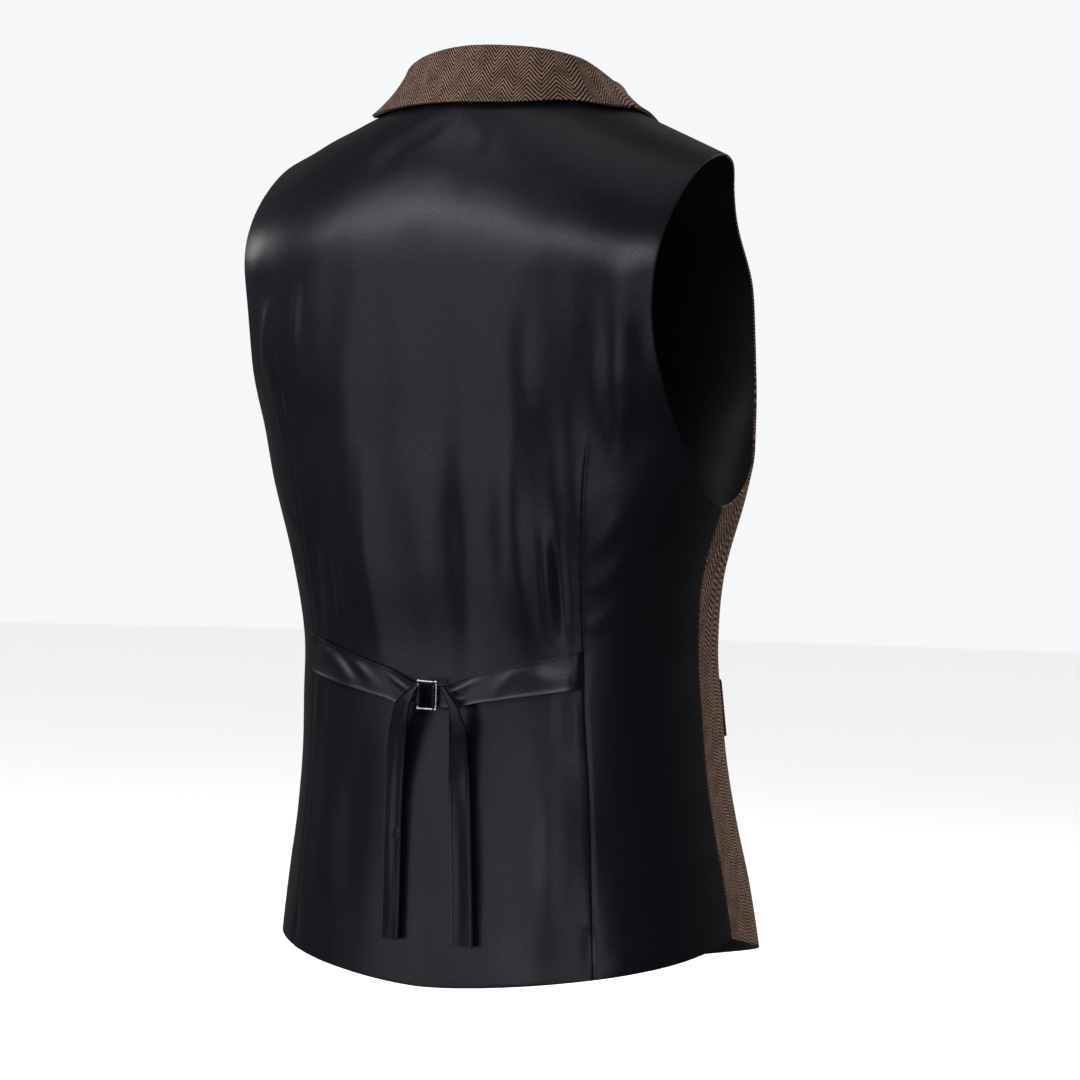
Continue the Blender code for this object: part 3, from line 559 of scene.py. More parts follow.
def armhole(column):
    """The armhole's edge from the shoulder to under the arm."""
    tip = Armhole(0, float(angle_at(TIP_HALF, 0, False)), float(angle_at(TIP_HALF, 0, True)))
    rows = (tip,) + ARMHOLE

    def edge(t):
        depth = rows[-1].depth * np.sin(t * np.pi / 2)
        return smooth(rows, column, depth), level_of(depth)

    return edge


def side_seam(t):
    return SIDE_ANGLE + 0 * t, blend(level_of(ARMHOLE[-1].depth), level_of(HEM_SIDE), t)


def neckline(t):
    turn = t * np.pi / 2
    angle = angle_at(NECK_HALF * np.sin(turn), 0, False)
    full = figure(angle, 1.0)[..., 1]
    return angle, np.arcsin(NECK_BACK * np.cos(turn) / full) * 2 / np.pi


def back_patch():
    """Half of the back: u from the middle to the armhole and side seam, v from top to hem."""
    def shoulder(t):
        return blend(angle_at(NECK_HALF, 0, False), angle_at(TIP_HALF, 0, False), t), 0 * t

    def middle(t):
        return 0 * t, blend(neckline(np.array(0.0))[1], level_of(HEM_BACK), t)

    def hem(t):
        return SIDE_ANGLE * t, level_of(blend(HEM_BACK, HEM_SIDE, t ** HEM_BACK_CURVE))

    return patch(evenly(middle), joined(armhole("back"), side_seam, 0.5),
                 joined(neckline, shoulder, 0.5), evenly(hem))


def grid(name, columns, rows):
    """A flat grid, and the share of its width and height at each of its corners."""
    deselect()
    bpy.ops.mesh.primitive_grid_add(x_subdivisions=columns, y_subdivisions=rows, size=1)
    piece = bpy.context.object
    piece.name = piece.data.name = name
    spots = np.empty(len(piece.data.vertices) * 3)
    piece.data.vertices.foreach_get("co", spots)
    spots = spots.reshape(-1, 3)
    u = np.round((spots[:, 0] + 0.5) * columns) / columns
    v = np.round((0.5 - spots[:, 1]) * rows) / rows
    return piece, u, v


def lay(piece, points, chart, outward):
    """Moves a grid's corners to points in mm, and charts the cloth on its UV map in metres."""
    mesh = piece.data
    mesh.vertices.foreach_set("co", (points * MM).ravel())
    corners = np.empty(len(mesh.loops), int)
    mesh.loops.foreach_get("vertex_index", corners)
    mesh.uv_layers.active.data.foreach_set("uv", (chart * MM)[corners].ravel())
    mesh.update()
    normals = np.empty(len(mesh.vertices) * 3)
    mesh.vertices.foreach_get("normal", normals)
    if np.sum(normals.reshape(-1, 3) * outward) < 0:
        bpy.ops.object.mode_set(mode="EDIT")
        bpy.ops.mesh.select_all(action="SELECT")
        bpy.ops.mesh.flip_normals()
        bpy.ops.object.mode_set(mode="OBJECT")


def give_wall(piece, wall, roll, face, inner=None):
    """Thickens the cloth inwards, rounds its turned edges and gives it its finish."""
    piece.data.materials.append(face)
    piece.data.materials.append(inner or face)
    solid = piece.modifiers.new("wall", "SOLIDIFY")
    solid.thickness = wall * MM
    solid.offset = -1
    solid.material_offset = 1
    rounded = piece.modifiers.new("turned edge", "BEVEL")
    rounded.width = roll * MM
    rounded.segments = EDGE_STEPS
    rounded.limit_method = "ANGLE"
    rounded.angle_limit = math.radians(EDGE_ANGLE)
    for modifier in ("wall", "turned edge"):
        bpy.ops.object.modifier_apply(modifier=modifier)
    bpy.ops.object.shade_smooth()


class Look:
    """A material with its shader, and short calls to add nodes to it."""

    def __init__(self, name):
        self.material = bpy.data.materials.new(name)
        self.material.use_nodes = True
        self.tree = self.material.node_tree
        self.shader = self.tree.nodes["Principled BSDF"]

    def node(self, kind, inputs=(), **settings):
        made = self.tree.nodes.new(kind)
        for setting, value in settings.items():
            setattr(made, setting, value)
        for socket, value in dict(inputs).items():
            self.put(made.inputs[socket], value)
        return made

    def put(self, socket, value):
        if isinstance(value, bpy.types.NodeSocket):
            self.tree.links.new(value, socket)
        else:
            socket.default_value = value

    def math(self, operation, *values, clamp=False):
        return self.node("ShaderNodeMath", enumerate(values), operation=operation,
                         use_clamp=clamp).outputs[0]

    def between(self, value, spread, to=(0.0, 1.0)):
        """A value's place between two others, eased, as a number between two more."""
        return self.node("ShaderNodeMapRange", {"Value": value, "From Min": spread[0],
                                                "From Max": spread[1], "To Min": to[0],
                                                "To Max": to[1]},
                         interpolation_type="SMOOTHSTEP").outputs["Result"]

    def noise(self, vector, scale=1.0, detail=2.0, roughness=0.5):
        return self.node("ShaderNodeTexNoise", {"Vector": vector, "Scale": scale, "Detail": detail,
                                                "Roughness": roughness}).outputs["Fac"]

    def stretched(self, vector, scale):
        return self.node("ShaderNodeMapping", {"Vector": vector, "Scale": scale}).outputs["Vector"]

    def mix(self, share, first, second):
        mixed = self.node("ShaderNodeMix", data_type="RGBA")
        for socket, value in zip((mixed.inputs[0], mixed.inputs[6], mixed.inputs[7]),
                                 (share, first, second)):
            self.put(socket, value)
        return mixed.outputs[2]

    def bump(self, height, distance, strength, under=None):
        made = self.node("ShaderNodeBump", {"Height": height, "Strength": strength,
                                            "Distance": distance})
        if under:
            self.put(made.inputs["Normal"], under)
        return made.outputs["Normal"]

    def shade(self, **inputs):
        for name, value in inputs.items():
            self.put(self.shader.inputs[name.replace("_", " ")], value)


def satin_look():
    """Black satin: long floats down the cloth give it a soft streaky sheen."""
    look = Look("black satin")
    object_place = look.node("ShaderNodeTexCoord").outputs["Object"]
    cloth_place = look.node("ShaderNodeUVMap").outputs["UV"]
    streaks = look.noise(look.stretched(cloth_place, STREAKS), detail=3.0, roughness=0.6)
    clouds = look.noise(object_place, CLOUD_SCALE, detail=3.0)
    threads = look.noise(look.stretched(cloth_place, THREADS), detail=1.0)
    crumple = look.noise(look.stretched(object_place, CRUMPLE), CRUMPLE_SCALE,
                         detail=3.0, roughness=0.45)
    grain = look.noise(look.stretched(cloth_place, GRAIN), roughness=0.7)
    normal = look.bump(crumple, CRUMPLE_DEEP, strength=0.25)
    normal = look.bump(look.math("ADD", streaks, threads), WEAVE_DEEP, strength=0.10, under=normal)
    look.shade(
        Base_Color=look.mix(clouds, SATIN_DEEP, SATIN_COLOUR),
        Roughness=look.between(look.math("ADD", streaks, clouds), MOST_OF_TWO, SATIN_ROUGHNESS),
        Specular_IOR_Level=look.between(grain, GRAIN_SPREAD, SATIN_SHINE),
        Specular_Tint=SATIN_CAST,
        Normal=normal)
    return look.material


satin = satin_look()


def cloth_table(levels=140, angles=181):
    """Girth from the middle of the front, and length down from the ridge, over half the figure."""
    level = np.linspace(0, level_of(SECTIONS[-1].depth), levels)
    angle = np.linspace(0, 180, angles)
    points = figure(angle[None, :], level[:, None])
    girth = np.zeros((levels, angles))
    girth[:, 1:] = np.cumsum(length(np.diff(points, axis=1)), axis=1)
    down = np.zeros((levels, angles))
    down[1:] = np.cumsum(length(np.diff(points, axis=0)), axis=0)
    return level[-1], girth, down


DEEPEST, GIRTH, DOWN = cloth_table()


def read_table(table, angle, level):
    """A table over half the figure, read between its rows and columns."""
    row = np.clip(level / DEEPEST, 0, 1) * (table.shape[0] - 1)
    column = np.clip(np.abs(angle) / 180, 0, 1) * (table.shape[1] - 1)
    i = np.minimum(row.astype(int), table.shape[0] - 2)
    j = np.minimum(column.astype(int), table.shape[1] - 2)
    return blend(blend(table[i, j], table[i, j + 1], column - j),
                 blend(table[i + 1, j], table[i + 1, j + 1], column - j), row - i)


def back_columns(share, v, half):
    """Spreads a row's columns so that one of them runs down the dart."""
    rows = np.unique(v)
    steps = np.linspace(0, 1, DART_SAMPLES)
    at_dart = []
    for row in rows:
        point = figure(*half(steps, row + 0 * steps))
        aside = point[:, 0] - smooth(DART, "x", -point[:, 2])
        at_dart.append(np.interp(0, aside, steps))
    dart = np.interp(v, rows, at_dart)
    total = NECK_COLUMNS + DART_COLUMNS + SIDE_COLUMNS
    first, second = NECK_COLUMNS / total, (NECK_COLUMNS + DART_COLUMNS) / total
    towards = 1 - (1 - np.clip((share - first) / (second - first), 0, 1)) ** TO_DART
    beyond = np.clip((share - second) / (1 - second), 0, 1) ** FROM_DART
    return np.where(share <= first, share / first * 0.5,
                    np.where(share <= second, blend(0.5, dart, towards), blend(dart, 1.0, beyond)))


def make_back():
    half = back_patch()
    columns = 2 * (NECK_COLUMNS + DART_COLUMNS + SIDE_COLUMNS)
    piece, u, v = grid("satin_back", columns, BACK_ROWS)
    side = np.where(u >= 0.5, 1, -1)
    angle, level = half(back_columns(np.abs(2 * u - 1), v, half), v)
    points = on_back(angle * side, level, np.zeros_like(u))
    chart = np.stack([read_table(GIRTH, angle, level) * side, -read_table(DOWN, angle, level)], axis=1)
    lay(piece, points, chart, figure_facing(angle * side, level))
    give_wall(piece, BACK_WALL, BACK_ROLL, satin)
    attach(piece, "root")
    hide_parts("back")


make_back()


# ---- tweed fronts -----------------------------------------------------------------------------
# Two fronts of brown herringbone tweed, the wearer's left one lapped over the right. The wool is
# matt and hairy, and the inner side is the back's black satin.

HEM_POINT = 594.0
HEM_FRONT_CURVE = 0.9
POINT_HALF = 50.0
LAP_HALF = 15.0
LAPEL_BREAK = 235.0
CUT_AWAY = 542.0
LAP_STEP = 3.7             # the left front's edge stands this much off the right one's
LAP_FADE = (20.0, 46.0)    # and comes down to the body between these distances
ROLL_PART = 11 / 24        # share of the front edge's rows along the lapel's roll
HEM_PART = 11 / 16         # share of the bottom's columns up to the point
FRONT_COLUMNS = 112
FRONT_ROWS = 192
FRONT_WALL = 2.1
FRONT_ROLL = 0.9

FRONT_FOLDS = (
    Fold(96, 0.10, 250, 380, 16, 2.0),
    Fold(60, 0.20, 300, 400, 12, -1.5),
)
FRONT_CREASES = (
    Crease(134, 262, 118, 330, 3, 8, 1.2),
    Crease(122, 286, 96, 352, -3, 7, -1.0),
    Crease(20, 300, 34, 372, 2, 9, 0.9),
    Crease(26, 420, 42, 520, 2, 12, 0.9),
    Crease(112, 440, 104, 540, -3, 12, 1.0),
    Crease(78, 300, 70, 366, 2, 6, 0.8),
)

COLUMN_WIDTH = 0.0069      # one leg of the herringbone
TWILL_PITCH = 0.0029       # from line to line, down the cloth
TWILL_RISE = 3.5           # pitches that a line climbs across its column
TWILL_LINE = (0.46, 0.74)  # where a tan line begins and is full, between two dark ones
LEG_EDGE, EDGE_TAN = (0.0, 0.06), (0.75, 1.0)     # the lines thin out where the legs meet
COLUMN_WANDER, WANDER_FINE = 0.0006, 420.0
LINE_RAGGED, FIBRE_FINE = 0.35, 2300.0
SLUBS, SLUB_SPREAD, SLUB_TAN = (1100, 2600, 1), (0.30, 0.60), (0.5, 1.0)
FLECK_FINE, FLECK_SPREAD, FLECK_TAN = 1500.0, (0.66, 0.76), (0.0, 0.35)
MOTTLE_FINE, MOTTLE_BROWN = 90.0, (0.0, 0.5)
GROUND_SPREAD = (0.35, 0.65)
WOOL_DEEP, FIBRE_SHARE = 0.0005, 0.6
WOOL_ROUGHNESS = (0.82, 0.98)
TWEED_DARK = (0.013, 0.0058, 0.0046, 1.0)
TWEED_BROWN = (0.036, 0.0180, 0.0140, 1.0)
TWEED_TAN = (0.370, 0.240, 0.178, 1.0)
TWEED_NAP = (0.85, 0.72, 0.62, 1.0)


def tweed_look():
    """Herringbone: tan lines climb across each column and turn back in the next."""
    look = Look("brown herringbone tweed")
    uv = look.node("ShaderNodeUVMap").outputs["UV"]
    wander = look.noise(uv, WANDER_FINE)
    fibre = look.noise(uv, FIBRE_FINE, detail=3.0, roughness=0.7)
    slub = look.noise(look.stretched(uv, SLUBS))
    mottle = look.noise(uv, MOTTLE_FINE, detail=3.0)
    split = look.node("ShaderNodeSeparateXYZ", {0: uv}).outputs
    shaken = look.math("MULTIPLY_ADD", look.math("SUBTRACT", wander, 0.5), COLUMN_WANDER, split[0])
    columns = look.math("DIVIDE", shaken, COLUMN_WIDTH)
    leg = look.math("FRACT", columns)
    turned = look.math("PINGPONG", columns, 1.0)
    rows = look.math("DIVIDE", split[1], TWILL_PITCH)
    rows = look.math("MULTIPLY_ADD", look.math("SUBTRACT", fibre, 0.5), LINE_RAGGED, rows)
    phase = look.math("MULTIPLY_ADD", turned, TWILL_RISE, rows)
    wave = look.math("PINGPONG", look.math("MULTIPLY", phase, 2.0), 1.0)
    edge = look.between(look.math("PINGPONG", leg, 0.5), LEG_EDGE, EDGE_TAN)
    line = look.math("MULTIPLY", look.between(wave, TWILL_LINE), edge)
    hairy = look.math("MULTIPLY", line, look.between(slub, SLUB_SPREAD, SLUB_TAN))
    fleck = look.between(look.noise(uv, FLECK_FINE, detail=1.0), FLECK_SPREAD, FLECK_TAN)
    ground = look.mix(look.between(fibre, GROUND_SPREAD), TWEED_DARK, TWEED_BROWN)
    tan = look.mix(look.between(mottle, MOST, MOTTLE_BROWN), TWEED_TAN, TWEED_BROWN)
    normal = look.bump(look.math("MULTIPLY_ADD", fibre, FIBRE_SHARE, line), WOOL_DEEP, strength=0.55)
    look.shade(Base_Color=look.mix(look.math("MAXIMUM", hairy, fleck), ground, tan),
               Roughness=look.between(fibre, MOST, WOOL_ROUGHNESS), Normal=normal,
               Specular_IOR_Level=0.10, Sheen_Weight=0.03, Sheen_Roughness=0.5,
               Sheen_Tint=TWEED_NAP)
    return look.material


tweed = tweed_look()


def roll_x(drop):
    """How far the roll of a lapel is from the middle, negative past it."""
    return blend(NECK_HALF, -LAP_HALF, np.minimum(drop / LAPEL_BREAK, 1.0))


def on_front(angle, level, out, left):
    """Points on a front's outer face, moved out; the left front steps over the right one."""
    point = figure(angle, level)
    x, drop = point[..., 0], -point[..., 2]
    lift = fold_height(FRONT_FOLDS, x, drop) + crease_height(FRONT_CREASES, x, drop)
    if left:
        lift = lift + LAP_STEP * ease((LAP_FADE[1] - x) / (LAP_FADE[1] - LAP_FADE[0]))
    return point + figure_facing(angle, level) * (out + lift)[..., None]


def front_patch():
    """The wearer's left front: u from the side to the front edge, v from the shoulder down."""
    point = spot(POINT_HALF, HEM_POINT, True)[0]

    def shoulder(t):
        return blend(angle_at(TIP_HALF, 0, True), angle_at(NECK_HALF, 0, True), t), 0 * t

    def hem(t):
        return blend(SIDE_ANGLE, point, t), level_of(blend(HEM_SIDE, HEM_POINT, t ** HEM_FRONT_CURVE))

    def cut_away(t):
        return spot(blend(POINT_HALF, -LAP_HALF, t), blend(HEM_POINT, CUT_AWAY, t), True)

    def roll(t):
        return spot(roll_x(LAPEL_BREAK * t), LAPEL_BREAK * t, True)

    def opening(t):
        return spot(-LAP_HALF + 0 * t, blend(LAPEL_BREAK, CUT_AWAY, t), True)

    return patch(joined(armhole("front"), side_seam, 0.5), joined(roll, opening, ROLL_PART),
                 evenly(shoulder), joined(hem, cut_away, HEM_PART))


def mirrored(points, side):
    return points * np.array([side, 1, 1])


def front_chart(angle, level):
    """Where the cloth's own grain runs: girth from the middle of the front, and length down."""
    half = read_table(GIRTH, np.full_like(angle, 180.0), level)
    folded = np.where(angle > 180, 360 - angle, angle)
    around = (half - read_table(GIRTH, folded, level)) * np.where(angle > 180, -1, 1)
    return np.stack([around, -read_table(DOWN, folded, level)], axis=-1)


def make_front(name, node, left):
    side = 1 if left else -1
    piece, u, v = grid(name, FRONT_COLUMNS, FRONT_ROWS)
    angle, level = front_patch()(u, v)
    points = on_front(angle, level, np.zeros_like(u), left)
    lay(piece, mirrored(points, side), front_chart(angle, level) * np.array([side, 1]),
        mirrored(figure_facing(angle, level), side))
    give_wall(piece, FRONT_WALL, FRONT_ROLL, tweed, satin)
    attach(piece, "root")
    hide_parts(node)


make_front("tweed_front_left", "front_left", True)
make_front("tweed_front_right", "front_right", False)


# ---- collar -----------------------------------------------------------------------------------
# One strip of the same tweed, cut along the neck: it stands up, rolls over and falls on the
# shoulders. Its ends meet the lapels in a notch.

# run goes from the middle of the back, 0, to the collar's end, 1. left and right are the stand's
# heights, and the free edge lies at edge_x and edge_drop.
Collar = namedtuple("Collar", "run left right edge_x edge_drop")
COLLAR = (
    Collar(0.00, 27.8, 27.8, 0.0, 7.5),
    Collar(0.15, 26.0, 29.0, 26.0, 8.0),
    Collar(0.24, 24.0, 29.0, 41.0, 8.6),
    Collar(0.32, 21.2, 27.9, 56.0, 9.4),
    Collar(0.40, 18.0, 25.6, 72.0, 10.7),
    Collar(0.48, 15.0, 22.2, 86.0, 12.0),
    Collar(0.56, 12.4, 16.6, 96.0, 12.6),
    Collar(0.62, 10.6, 12.4, 100.5, 11.9),
    Collar(0.68, 9.0, 9.2, 102.5, 11.2),
    Collar(0.82, 5.2, 5.2, 108.0, 29.0),
    Collar(1.00, 2.5, 2.5, 117.0, 66.0),
)
GORGE_DEPTH = 62.0
RIDGE_RUN = 0.68
FOLD_RADIUS = 2.4
STAND_PART = 0.3           # shares of the collar's rows up to the top of the stand
FOLD_PART = 0.5            # and over the fold
FOOT_IN = 2.2
FOOT_UP = 0.6
LEAF_BEND = 0.4
LEAF_DROP = 0.12
NOTCH_PART = 0.6
NOTCH_DROP = 18.0
NOTCH_RUN = 0.8
COLLAR_LIE = 1.7
LEAF_ROW = 0.75            # the row along which the collar's cloth is charted
RIGHT_IN = 7.0             # the worn collar's right half lies this much nearer the neck
RIGHT_IN_RUNS = (0.4, 0.6, 0.75, 1.0)    # beginning here, in full between these, and ending
COLLAR_WALL = 2.2
COLLAR_ROLL = 0.95
COLLAR_COLUMNS = 220
COLLAR_ROWS = 60
RIGHT_LIFT = 5.0           # the leaf's edge lies this much higher at the wearer's right
LIFT_AT, LIFT_WIDE = 72.0, 26.0


def neck_edge(run):
    """The neckline's edge, from the middle of the back over the shoulder and down the front."""
    turn = np.minimum(run / RIDGE_RUN, 1) * np.pi / 2
    angle = angle_at(NECK_HALF * np.sin(turn), 0, False)
    behind_ridge = figure(angle, np.arcsin(NECK_BACK * np.cos(turn) / figure(angle, 1.0)[..., 1])
                          * 2 / np.pi)
    drop = GORGE_DEPTH * np.maximum(run - RIDGE_RUN, 0) / (1 - RIDGE_RUN)
    before_ridge = figure(*spot(roll_x(drop), drop, True))
    return np.where((run < RIDGE_RUN)[..., None], behind_ridge, before_ridge)


def collar_edge(run, side):
    """The collar's free edge, lying on the back, over the shoulder seam and on the front."""
    out = COLLAR_LIE + COLLAR_WALL / 2
    x, drop = smooth(COLLAR, "edge_x", run), smooth(COLLAR, "edge_drop", run)
    drop = drop - RIGHT_LIFT * (side < 0) * np.exp(-((x - LIFT_AT) / LIFT_WIDE) ** 2)
    begin, full, until, end = RIGHT_IN_RUNS
    nearer = ease((run - begin) / (full - begin)) * ease((end - run) / (end - until))
    nearer = RIGHT_IN * (side < 0) * nearer
    x, drop = x - nearer, drop - SHOULDER_SLOPE * nearer
    places = []
    for front in (False, True):
        angle, level = spot(x, drop, front)
        places.append(figure(angle, level) + figure_facing(angle, level) * out)
    return np.where((run > RIDGE_RUN)[..., None], places[1], places[0])


def notch_shift(leaf, run, t):
    """The collar's end comes down along the front to the lapel's top edge, then up to its corner."""
    tent = np.minimum(t / NOTCH_PART, (1 - t) / (1 - NOTCH_PART))
    down = NOTCH_DROP * np.maximum(tent, 0) * ease((run - NOTCH_RUN) / (1 - NOTCH_RUN))
    drop = -leaf[..., 2]
    shift = figure(*spot(leaf[..., 0], drop + down, True)) - figure(*spot(leaf[..., 0], drop, True))
    return np.where((down > 0)[..., None], shift, 0.0)


def collar_middle(u, v):
    """The middle of the collar's wall; v runs from the neck seam over the fold to the edge."""
    run, side = np.abs(2 * u - 1), np.where(u >= 0.5, 1, -1)
    seam = neck_edge(run)
    flat = np.array([1.0, 1.0, 0.0])
    up = np.array([0.0, 0.0, 1.0])
    inward = unit(-seam * flat)
    stand = np.where(side > 0, smooth(COLLAR, "left", run), smooth(COLLAR, "right", run))[..., None]
    foot = seam + inward * FOOT_IN + up * FOOT_UP
    top = foot + up * stand
    across = v[..., None]
    standing = blend(foot, top, np.minimum(across / STAND_PART, 1))
    turn = np.clip((across - STAND_PART) / (FOLD_PART - STAND_PART), 0, 1) * np.pi
    folding = top - inward * FOLD_RADIUS + (inward * np.cos(turn) + up * np.sin(turn)) * FOLD_RADIUS
    t = np.clip((across - FOLD_PART) / (1 - FOLD_PART), 0, 1)
    outer = top - inward * 2 * FOLD_RADIUS
    edge = collar_edge(run, side)
    bend = blend(outer, edge, LEAF_BEND) - up * LEAF_DROP * stand
    leaf = outer * (1 - t) ** 2 + bend * 2 * t * (1 - t) + edge * t * t
    leaf = leaf + notch_shift(leaf, run, t[..., 0])
    middle = np.where(across < STAND_PART, standing, np.where(across < FOLD_PART, folding, leaf))
    return middle * np.stack([side, np.ones_like(run), np.ones_like(run)], axis=-1)


def facing(surface, u, v):
    """The direction that a surface of two parameters faces."""
    tiny = 1e-3
    along_u = surface(np.minimum(u + tiny, 1), v) - surface(np.maximum(u - tiny, 0), v)
    along_v = surface(u, np.minimum(v + tiny, 1)) - surface(u, np.maximum(v - tiny, 0))
    return unit(np.cross(along_u, along_v))


def own_chart(points, columns, rows, at_row=0.5):
    """Lengths along the middle row and down each column of a grid laid out in space."""
    shape = points.reshape(rows + 1, columns + 1, 3)
    row = shape[int(round(at_row * rows))]
    along = np.concatenate([[0], np.cumsum(length(np.diff(row, axis=0)))])
    down = np.zeros(shape.shape[:2])
    down[1:] = np.cumsum(length(np.diff(shape, axis=0)), axis=0)
    along = np.broadcast_to(along - along[-1] / 2, down.shape)
    return np.stack([along.ravel(), down.ravel()], axis=1)


def make_collar():
    piece, u, v = grid("tweed_collar", COLLAR_COLUMNS, COLLAR_ROWS)
    out = facing(collar_middle, u, v)
    points = collar_middle(u, v) + out * COLLAR_WALL / 2
    lay(piece, points, own_chart(points, COLLAR_COLUMNS, COLLAR_ROWS, LEAF_ROW), out)
    give_wall(piece, COLLAR_WALL, COLLAR_ROLL, tweed)
    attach(piece, "root")
    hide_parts("collar")


make_collar()


# ---- lapels -----------------------------------------------------------------------------------
# Each front's top is turned back over its roll. The lapel wraps round the roll, lies on the
# front and ends in a notch below the collar.

LIE = 0.9                  # between a cloth's face and what lies on it
LAPEL_FACE = LIE + 2.5
LAPEL_TIP = (121.0, 99.0)
RIGHT_LAPEL_END = 188.0
LAPEL_BELLY = 9.0
LAPEL_FOOT = 7.0
LAPEL_START = 1.5
LAPEL_STOP = 4.0
LAPEL_COLUMNS = 120
LAPEL_ROWS = 56
LAPEL_WALL = 1.9
ROLL_SHARE = 0.10          # share of the lapel's rows that wrap round the roll
ROLL_PAST = 1.7            # how far it passes the front's edge
ROLL_WIDE = 2.0
ROLL_UNDER = 1.0


def laid_on_front(x, drop, out, left):
    """Points at x and a depth on the wearer's left front, or mirrored on the right one."""
    angle, level = spot(x, drop, True)
    return mirrored(on_front(angle, level, out, left), 1 if left else -1)


def lapel_end(left):
    return LAPEL_BREAK - LAPEL_STOP if left else RIGHT_LAPEL_END


def lapel_edge(end, share):
    """Where a lapel's free edge lies, a share of the way from its tip down to its end."""
    x = blend(LAPEL_TIP[0], roll_x(end) + LAPEL_FOOT, share) + LAPEL_BELLY * np.sin(np.pi * share)
    return x, blend(LAPEL_TIP[1], end, share)


def make_lapel(name, node, left):
    end = lapel_end(left)

    def surface(u, v, out=0.0):
        turn = np.minimum(v / ROLL_SHARE, 1) * np.pi / 2
        flat = np.maximum(v - ROLL_SHARE, 0) / (1 - ROLL_SHARE)
        drop = blend(GORGE_DEPTH + LAPEL_START, end, u)
        edge_x, edge_drop = lapel_edge(end, u)
        start = roll_x(drop) + ROLL_WIDE - (ROLL_WIDE + ROLL_PAST) * np.cos(turn)
        x = blend(start, edge_x, flat)
        depth = blend(drop, edge_drop, flat)
        height = LAPEL_FACE - (LAPEL_FACE + ROLL_UNDER) * (1 - np.sin(turn))
        return laid_on_front(x, depth, height + out, left)

    piece, u, v = grid(name, LAPEL_COLUMNS, LAPEL_ROWS)
    points = surface(u, v)
    chart = own_chart(points, LAPEL_COLUMNS, LAPEL_ROWS)[:, ::-1]
    lay(piece, points, chart, surface(u, v, 1.0) - points)
    give_wall(piece, LAPEL_WALL, FRONT_ROLL, tweed)
    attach(piece, "root")
    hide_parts(node)


make_lapel("tweed_lapel_left", "lapel_left", True)
make_lapel("tweed_lapel_right", "lapel_right", False)


# ---- pocket flaps -----------------------------------------------------------------------------
# Two plain flaps of the same tweed cover the lower pockets. Each is sewn into its pocket's seam
# along its top, and its pattern meets the front's.

FLAP_TOP_SIDE = (129.0, 385.0)
FLAP_TOP_FRONT = (50.0, 398.0)
FLAP_HEIGHT = 41.0
FLAP_LIFT = 0.6
FLAP_COLUMNS = 96
FLAP_ROWS = 42
FLAP_WALL = 1.4
FLAP_ROLL = 0.6
FLAP_FACE = 2.2            # the flap's face is this far off the front's
FLAP_SEAM_FACE = 0.4       # and this far where its top edge goes in under the pocket's seam
FLAP_SEAM_PART = 0.07


def make_flap(name, node, left):
    def surface(u, v, out=0.0):
        near, far = (spot(x, drop + FLAP_HEIGHT * v, True)
                     for x, drop in (FLAP_TOP_SIDE, FLAP_TOP_FRONT))
        angle, level = (blend(a, b, u) for a, b in zip(near, far))
        height = blend(FLAP_SEAM_FACE, FLAP_FACE, ease(v / FLAP_SEAM_PART)) + FLAP_LIFT * v
        points = on_front(angle, level, height + out, left)
        return mirrored(points, 1 if left else -1), front_chart(angle, level)

    piece, u, v = grid(name, FLAP_COLUMNS, FLAP_ROWS)
    points, chart = surface(u, v)
    lay(piece, points, chart * np.array([1 if left else -1, 1]), surface(u, v, 1.0)[0] - points)
    give_wall(piece, FLAP_WALL, FLAP_ROLL, tweed)
    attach(piece, "root")
    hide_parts(node)


make_flap("tweed_flap_left", "flap_left", True)
make_flap("tweed_flap_right", "flap_right", False)


# ---- buttons ----------------------------------------------------------------------------------
# Five horn-like buttons with a rounded rim, a sunk middle and four holes, sewn on with two
# crossings of brown thread.

BUTTONS = 5
BUTTON_FIRST = 246.0
BUTTON_STEP = 68.5
BUTTON_RADIUS = 7.5
BUTTON_HEIGHT = 3.2
BUTTON_SHANK = 1.2
BUTTON_RIM = 1.7
BUTTON_SINK = 0.8
HOLE_RADIUS = 0.75
HOLE_OFF = 1.45            # from the button's middle, across and up
BUTTON_ROUND, ROUND_STEPS = 0.75, 4
ROUND_ABOVE, SMOOTH_BELOW = 50.0, 35.0    # degrees between faces
BUTTON_SIDES, HOLE_SIDES, SHANK_SIDES = 64, 20, 16
CROSSING_STEPS, THREAD_SIDES = 28, 10
THREAD = 0.42
THREAD_DEEP = 1.0          # the crossings' middle lies this far under the button's sunk face
SHANK_RADIUS = 1.3
SHANK_IN = 1.2             # the shank's length inside the cloth and the button together
HORN_DARK = (0.012, 0.007, 0.005, 1.0)
HORN_LIGHT = (0.075, 0.040, 0.022, 1.0)
THREAD_DARK = (0.022, 0.013, 0.010, 1.0)
THREAD_LIGHT = (0.070, 0.043, 0.030, 1.0)
HORN_STREAKS, HORN_SPREAD, HORN_ROUGHNESS = (420, 420, 90), (0.40, 0.68), (0.22, 0.34)
HORN_FINE, TWIST_FINE = 1800.0, 2400.0
MARKS_DEEP = 0.0002        # the bump of the smallest marks, in metres


def horn_look():
    look = Look("dark brown horn")
    place = look.node("ShaderNodeTexCoord").outputs["Object"]
    streaks = look.noise(look.stretched(place, HORN_STREAKS), detail=4.0, roughness=0.6)
    look.shade(Base_Color=look.mix(look.between(streaks, HORN_SPREAD), HORN_DARK, HORN_LIGHT),
               Roughness=look.between(streaks, MOST, HORN_ROUGHNESS),
               Normal=look.bump(look.noise(place, HORN_FINE), MARKS_DEEP, strength=0.08))
    return look.material


